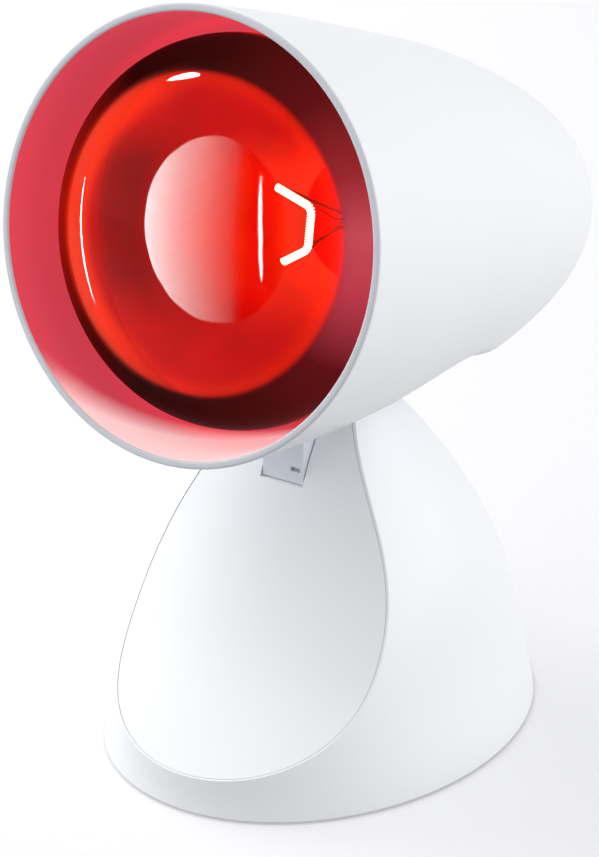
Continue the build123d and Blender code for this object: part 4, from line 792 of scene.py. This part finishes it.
def seen_background(tree):
    """One for the rays that show the white background: camera, glossy and transmission rays."""
    path = add_node(tree, "ShaderNodeLightPath")
    first = add_node(tree, "ShaderNodeMath", {"operation": "ADD", "use_clamp": True},
                     {0: path.outputs["Is Camera Ray"], 1: path.outputs["Is Glossy Ray"]})
    return add_node(tree, "ShaderNodeMath", {"operation": "ADD", "use_clamp": True},
                    {0: first.outputs[0], 1: path.outputs["Is Transmission Ray"]})


class HEATLAMP_OT_stage(bpy.types.Operator):
    """Set the camera, the pale table and the soft lights"""
    bl_idname = "heat_lamp.stage"
    bl_label = "Studio"

    def execute(self, context):
        stage = context.scene.heat_lamp_stage
        scene = context.scene
        scene.view_settings.view_transform = "Standard"
        self.add_camera(scene, stage)
        self.light_room(scene, stage)
        table = self.lay_table(scene)
        glass = bpy.data.objects["bulb_glass"]
        off_glass = self.lit_group("off_the_glass", [glass], "EXCLUDE")
        off_both = self.lit_group("off_the_glass_and_table", [glass, table], "EXCLUDE")
        on_glass = self.lit_group("on_the_glass", [glass], "INCLUDE")
        for name, place, size, power, lights_table in SOFTBOXES:
            lamp = self.add_softbox(scene, name, place, size, power * stage.level)
            lamp.light_linking.receiver_collection = off_glass if lights_table else off_both
        for card in CARDS:
            self.add_card(scene, *card).light_linking.receiver_collection = on_glass
        return {"FINISHED"}

    def add_camera(self, scene, stage):
        """The camera on its circle round the target."""
        lens = bpy.data.cameras.new("camera")
        lens.sensor_fit = "VERTICAL"
        lens.sensor_height = 36.0
        lens.lens = stage.lens
        lens.clip_start = 0.02
        lens.clip_end = 50.0
        camera = bpy.data.objects.new("camera", lens)
        level = math.cos(stage.elevation)
        towards = Vector((math.sin(stage.azimuth) * level, -math.cos(stage.azimuth) * level,
                          math.sin(stage.elevation)))
        camera.location = CAMERA_TARGET + towards * stage.distance
        camera.rotation_euler = towards.to_track_quat("Z", "Y").to_euler()
        scene.collection.objects.link(camera)
        scene.camera = camera

    def light_room(self, scene, stage):
        """An even, cool room light behind which the background stays white."""
        world = bpy.data.worlds.new("studio")
        scene.world = world
        world.use_nodes = True
        tree = world.node_tree
        tree.nodes.clear()
        output = add_node(tree, "ShaderNodeOutputWorld")
        seen = seen_background(tree)
        room = add_node(tree, "ShaderNodeBackground", {"Color": (*linear("#fdfdff"), 1), "Strength": stage.sky})
        white = add_node(tree, "ShaderNodeBackground", {"Color": (*linear("#ffffff"), 1), "Strength": 1.0})
        mix = add_node(tree, "ShaderNodeMixShader", {},
                       {0: seen.outputs[0], 1: room.outputs[0], 2: white.outputs[0]})
        tree.links.new(mix.outputs[0], output.inputs["Surface"])

    def lay_table(self, scene):
        """The pale table, which keeps the lamp's shadow."""
        mesh = bpy.data.meshes.new("table")
        corners = ((-1, -1), (1, -1), (1, 1), (-1, 1))
        mesh.from_pydata([(x * TABLE_HALF, y * TABLE_HALF, 0) for x, y in corners], [], [(0, 1, 2, 3)])
        table = bpy.data.objects.new("table", mesh)
        scene.collection.objects.link(table)
        material, tree, output = new_material("white_studio_table")
        seen = seen_background(tree)
        power = add_node(tree, "ShaderNodeMath", {"operation": "MULTIPLY", 1: TABLE_GLOW}, {0: seen.outputs[0]})
        # a slow drift of tone, over metres
        cloud = add_node(tree, "ShaderNodeTexNoise", {"Scale": 3.0})
        white = add_node(tree, "ShaderNodeMix",
                         {"data_type": "RGBA", 6: (*linear("#ededef"), 1), 7: (*linear("#f0f0f1"), 1)},
                         {0: cloud.outputs["Fac"]})
        # white to the eye, and greyer in the light that it throws back up at the lamp
        shown = add_node(tree, "ShaderNodeMix", {"data_type": "RGBA", 6: (*linear("#bcbcbd"), 1)},
                         {0: seen.outputs[0], 7: white.outputs[2]})
        matt = add_node(tree, "ShaderNodeBsdfDiffuse", {}, {"Color": shown.outputs[2]})
        glow = add_node(tree, "ShaderNodeEmission", {"Color": (*linear("#ffffff"), 1)},
                        {"Strength": power.outputs[0]})
        total = add_node(tree, "ShaderNodeAddShader", {}, {0: matt.outputs[0], 1: glow.outputs[0]})
        tree.links.new(total.outputs[0], output.inputs["Surface"])
        mesh.materials.append(material)
        return table

    def lit_group(self, name, objects, state):
        """A collection that lights may be linked to, with its objects lit or left out."""
        group = bpy.data.collections.new(name)
        for item in objects:
            group.objects.link(item)
        for entry in group.collection_objects:
            entry.light_linking.link_state = state
        return group

    def add_card(self, scene, name, place, along, size, strength, fade):
        """An oval card that glows and that nothing but a mirroring surface shows."""
        turns = [math.tau * i / CARD_SIDES for i in range(CARD_SIDES)]
        mesh = bpy.data.meshes.new(name)
        mesh.from_pydata([(math.cos(t), math.sin(t), 0) for t in turns], [], [tuple(range(CARD_SIDES))])
        material, tree, output = new_material(name)
        on_card = add_node(tree, "ShaderNodeTexCoord").outputs["Object"]
        split = add_node(tree, "ShaderNodeSeparateXYZ", {}, {"Vector": on_card})
        level = profile(tree, split.outputs["X"], fade)
        power = add_node(tree, "ShaderNodeMath", {"operation": "MULTIPLY", 1: strength}, {0: level})
        glow = add_node(tree, "ShaderNodeEmission", {"Color": (*linear("#ffffff"), 1)},
                        {"Strength": power.outputs[0]})
        tree.links.new(glow.outputs[0], output.inputs["Surface"])
        mesh.materials.append(material)
        card = bpy.data.objects.new(name, mesh)
        long_side = Vector(along).normalized()
        facing = (CARD_TARGET - Vector(place)).normalized()
        short_side = facing.cross(long_side).normalized()
        facing = long_side.cross(short_side)
        turn = Matrix((long_side, short_side, facing)).transposed().to_4x4()
        card.matrix_world = Matrix.Translation(place) @ turn @ Matrix.Diagonal((*size, 1, 1))
        scene.collection.objects.link(card)
        card.visible_camera = False
        card.visible_diffuse = False
        card.visible_transmission = False
        card.visible_shadow = False
        return card

    def add_softbox(self, scene, name, place, size, power):
        """A soft lamp that is turned to the object."""
        light = bpy.data.lights.new(name, "AREA")
        light.shape = "RECTANGLE"
        light.size, light.size_y = size
        light.energy = power
        lamp = bpy.data.objects.new(name, light)
        lamp.location = place
        lamp.rotation_euler = (Vector(place) - SOFTBOX_TARGET).to_track_quat("Z", "Y").to_euler()
        scene.collection.objects.link(lamp)
        return lamp


class HEATLAMP_PT_panel(bpy.types.Panel):
    """Steps that finish the lamp, in order"""
    bl_idname = "HEATLAMP_PT_panel"
    bl_label = "Infrared heat lamp"
    bl_space_type = "VIEW_3D"
    bl_region_type = "UI"
    bl_category = "Heat Lamp"

    def draw(self, context):
        layout = self.layout
        for group in (getattr(context.scene, name) for name in GROUPS):
            box = layout.box()
            for name in group.__annotations__:
                box.prop(group, name)
        for step in STEPS:
            layout.operator(step.bl_idname)


GROUPS = {"heat_lamp_housing": HeatLampHousing, "heat_lamp_bulb": HeatLampBulb, "heat_lamp_stage": HeatLampStage}
STEPS = (HEATLAMP_OT_housing, HEATLAMP_OT_hardware, HEATLAMP_OT_electrics, HEATLAMP_OT_bulb, HEATLAMP_OT_filament,
         HEATLAMP_OT_stage)


def register():
    for group in GROUPS.values():
        bpy.utils.register_class(group)
    for name, group in GROUPS.items():
        setattr(bpy.types.Scene, name, bpy.props.PointerProperty(type=group))
    for step in STEPS:
        bpy.utils.register_class(step)
    bpy.utils.register_class(HEATLAMP_PT_panel)


def unregister():
    bpy.utils.unregister_class(HEATLAMP_PT_panel)
    for step in reversed(STEPS):
        bpy.utils.unregister_class(step)
    for name, group in GROUPS.items():
        delattr(bpy.types.Scene, name)
        bpy.utils.unregister_class(group)


def main():
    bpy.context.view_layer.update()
    register()
    bpy.ops.heat_lamp.housing()
    bpy.ops.heat_lamp.hardware()
    bpy.ops.heat_lamp.electrics()
    bpy.ops.heat_lamp.bulb()
    bpy.ops.heat_lamp.filament()
    bpy.ops.heat_lamp.stage()


if __name__ == "__main__":
    main()
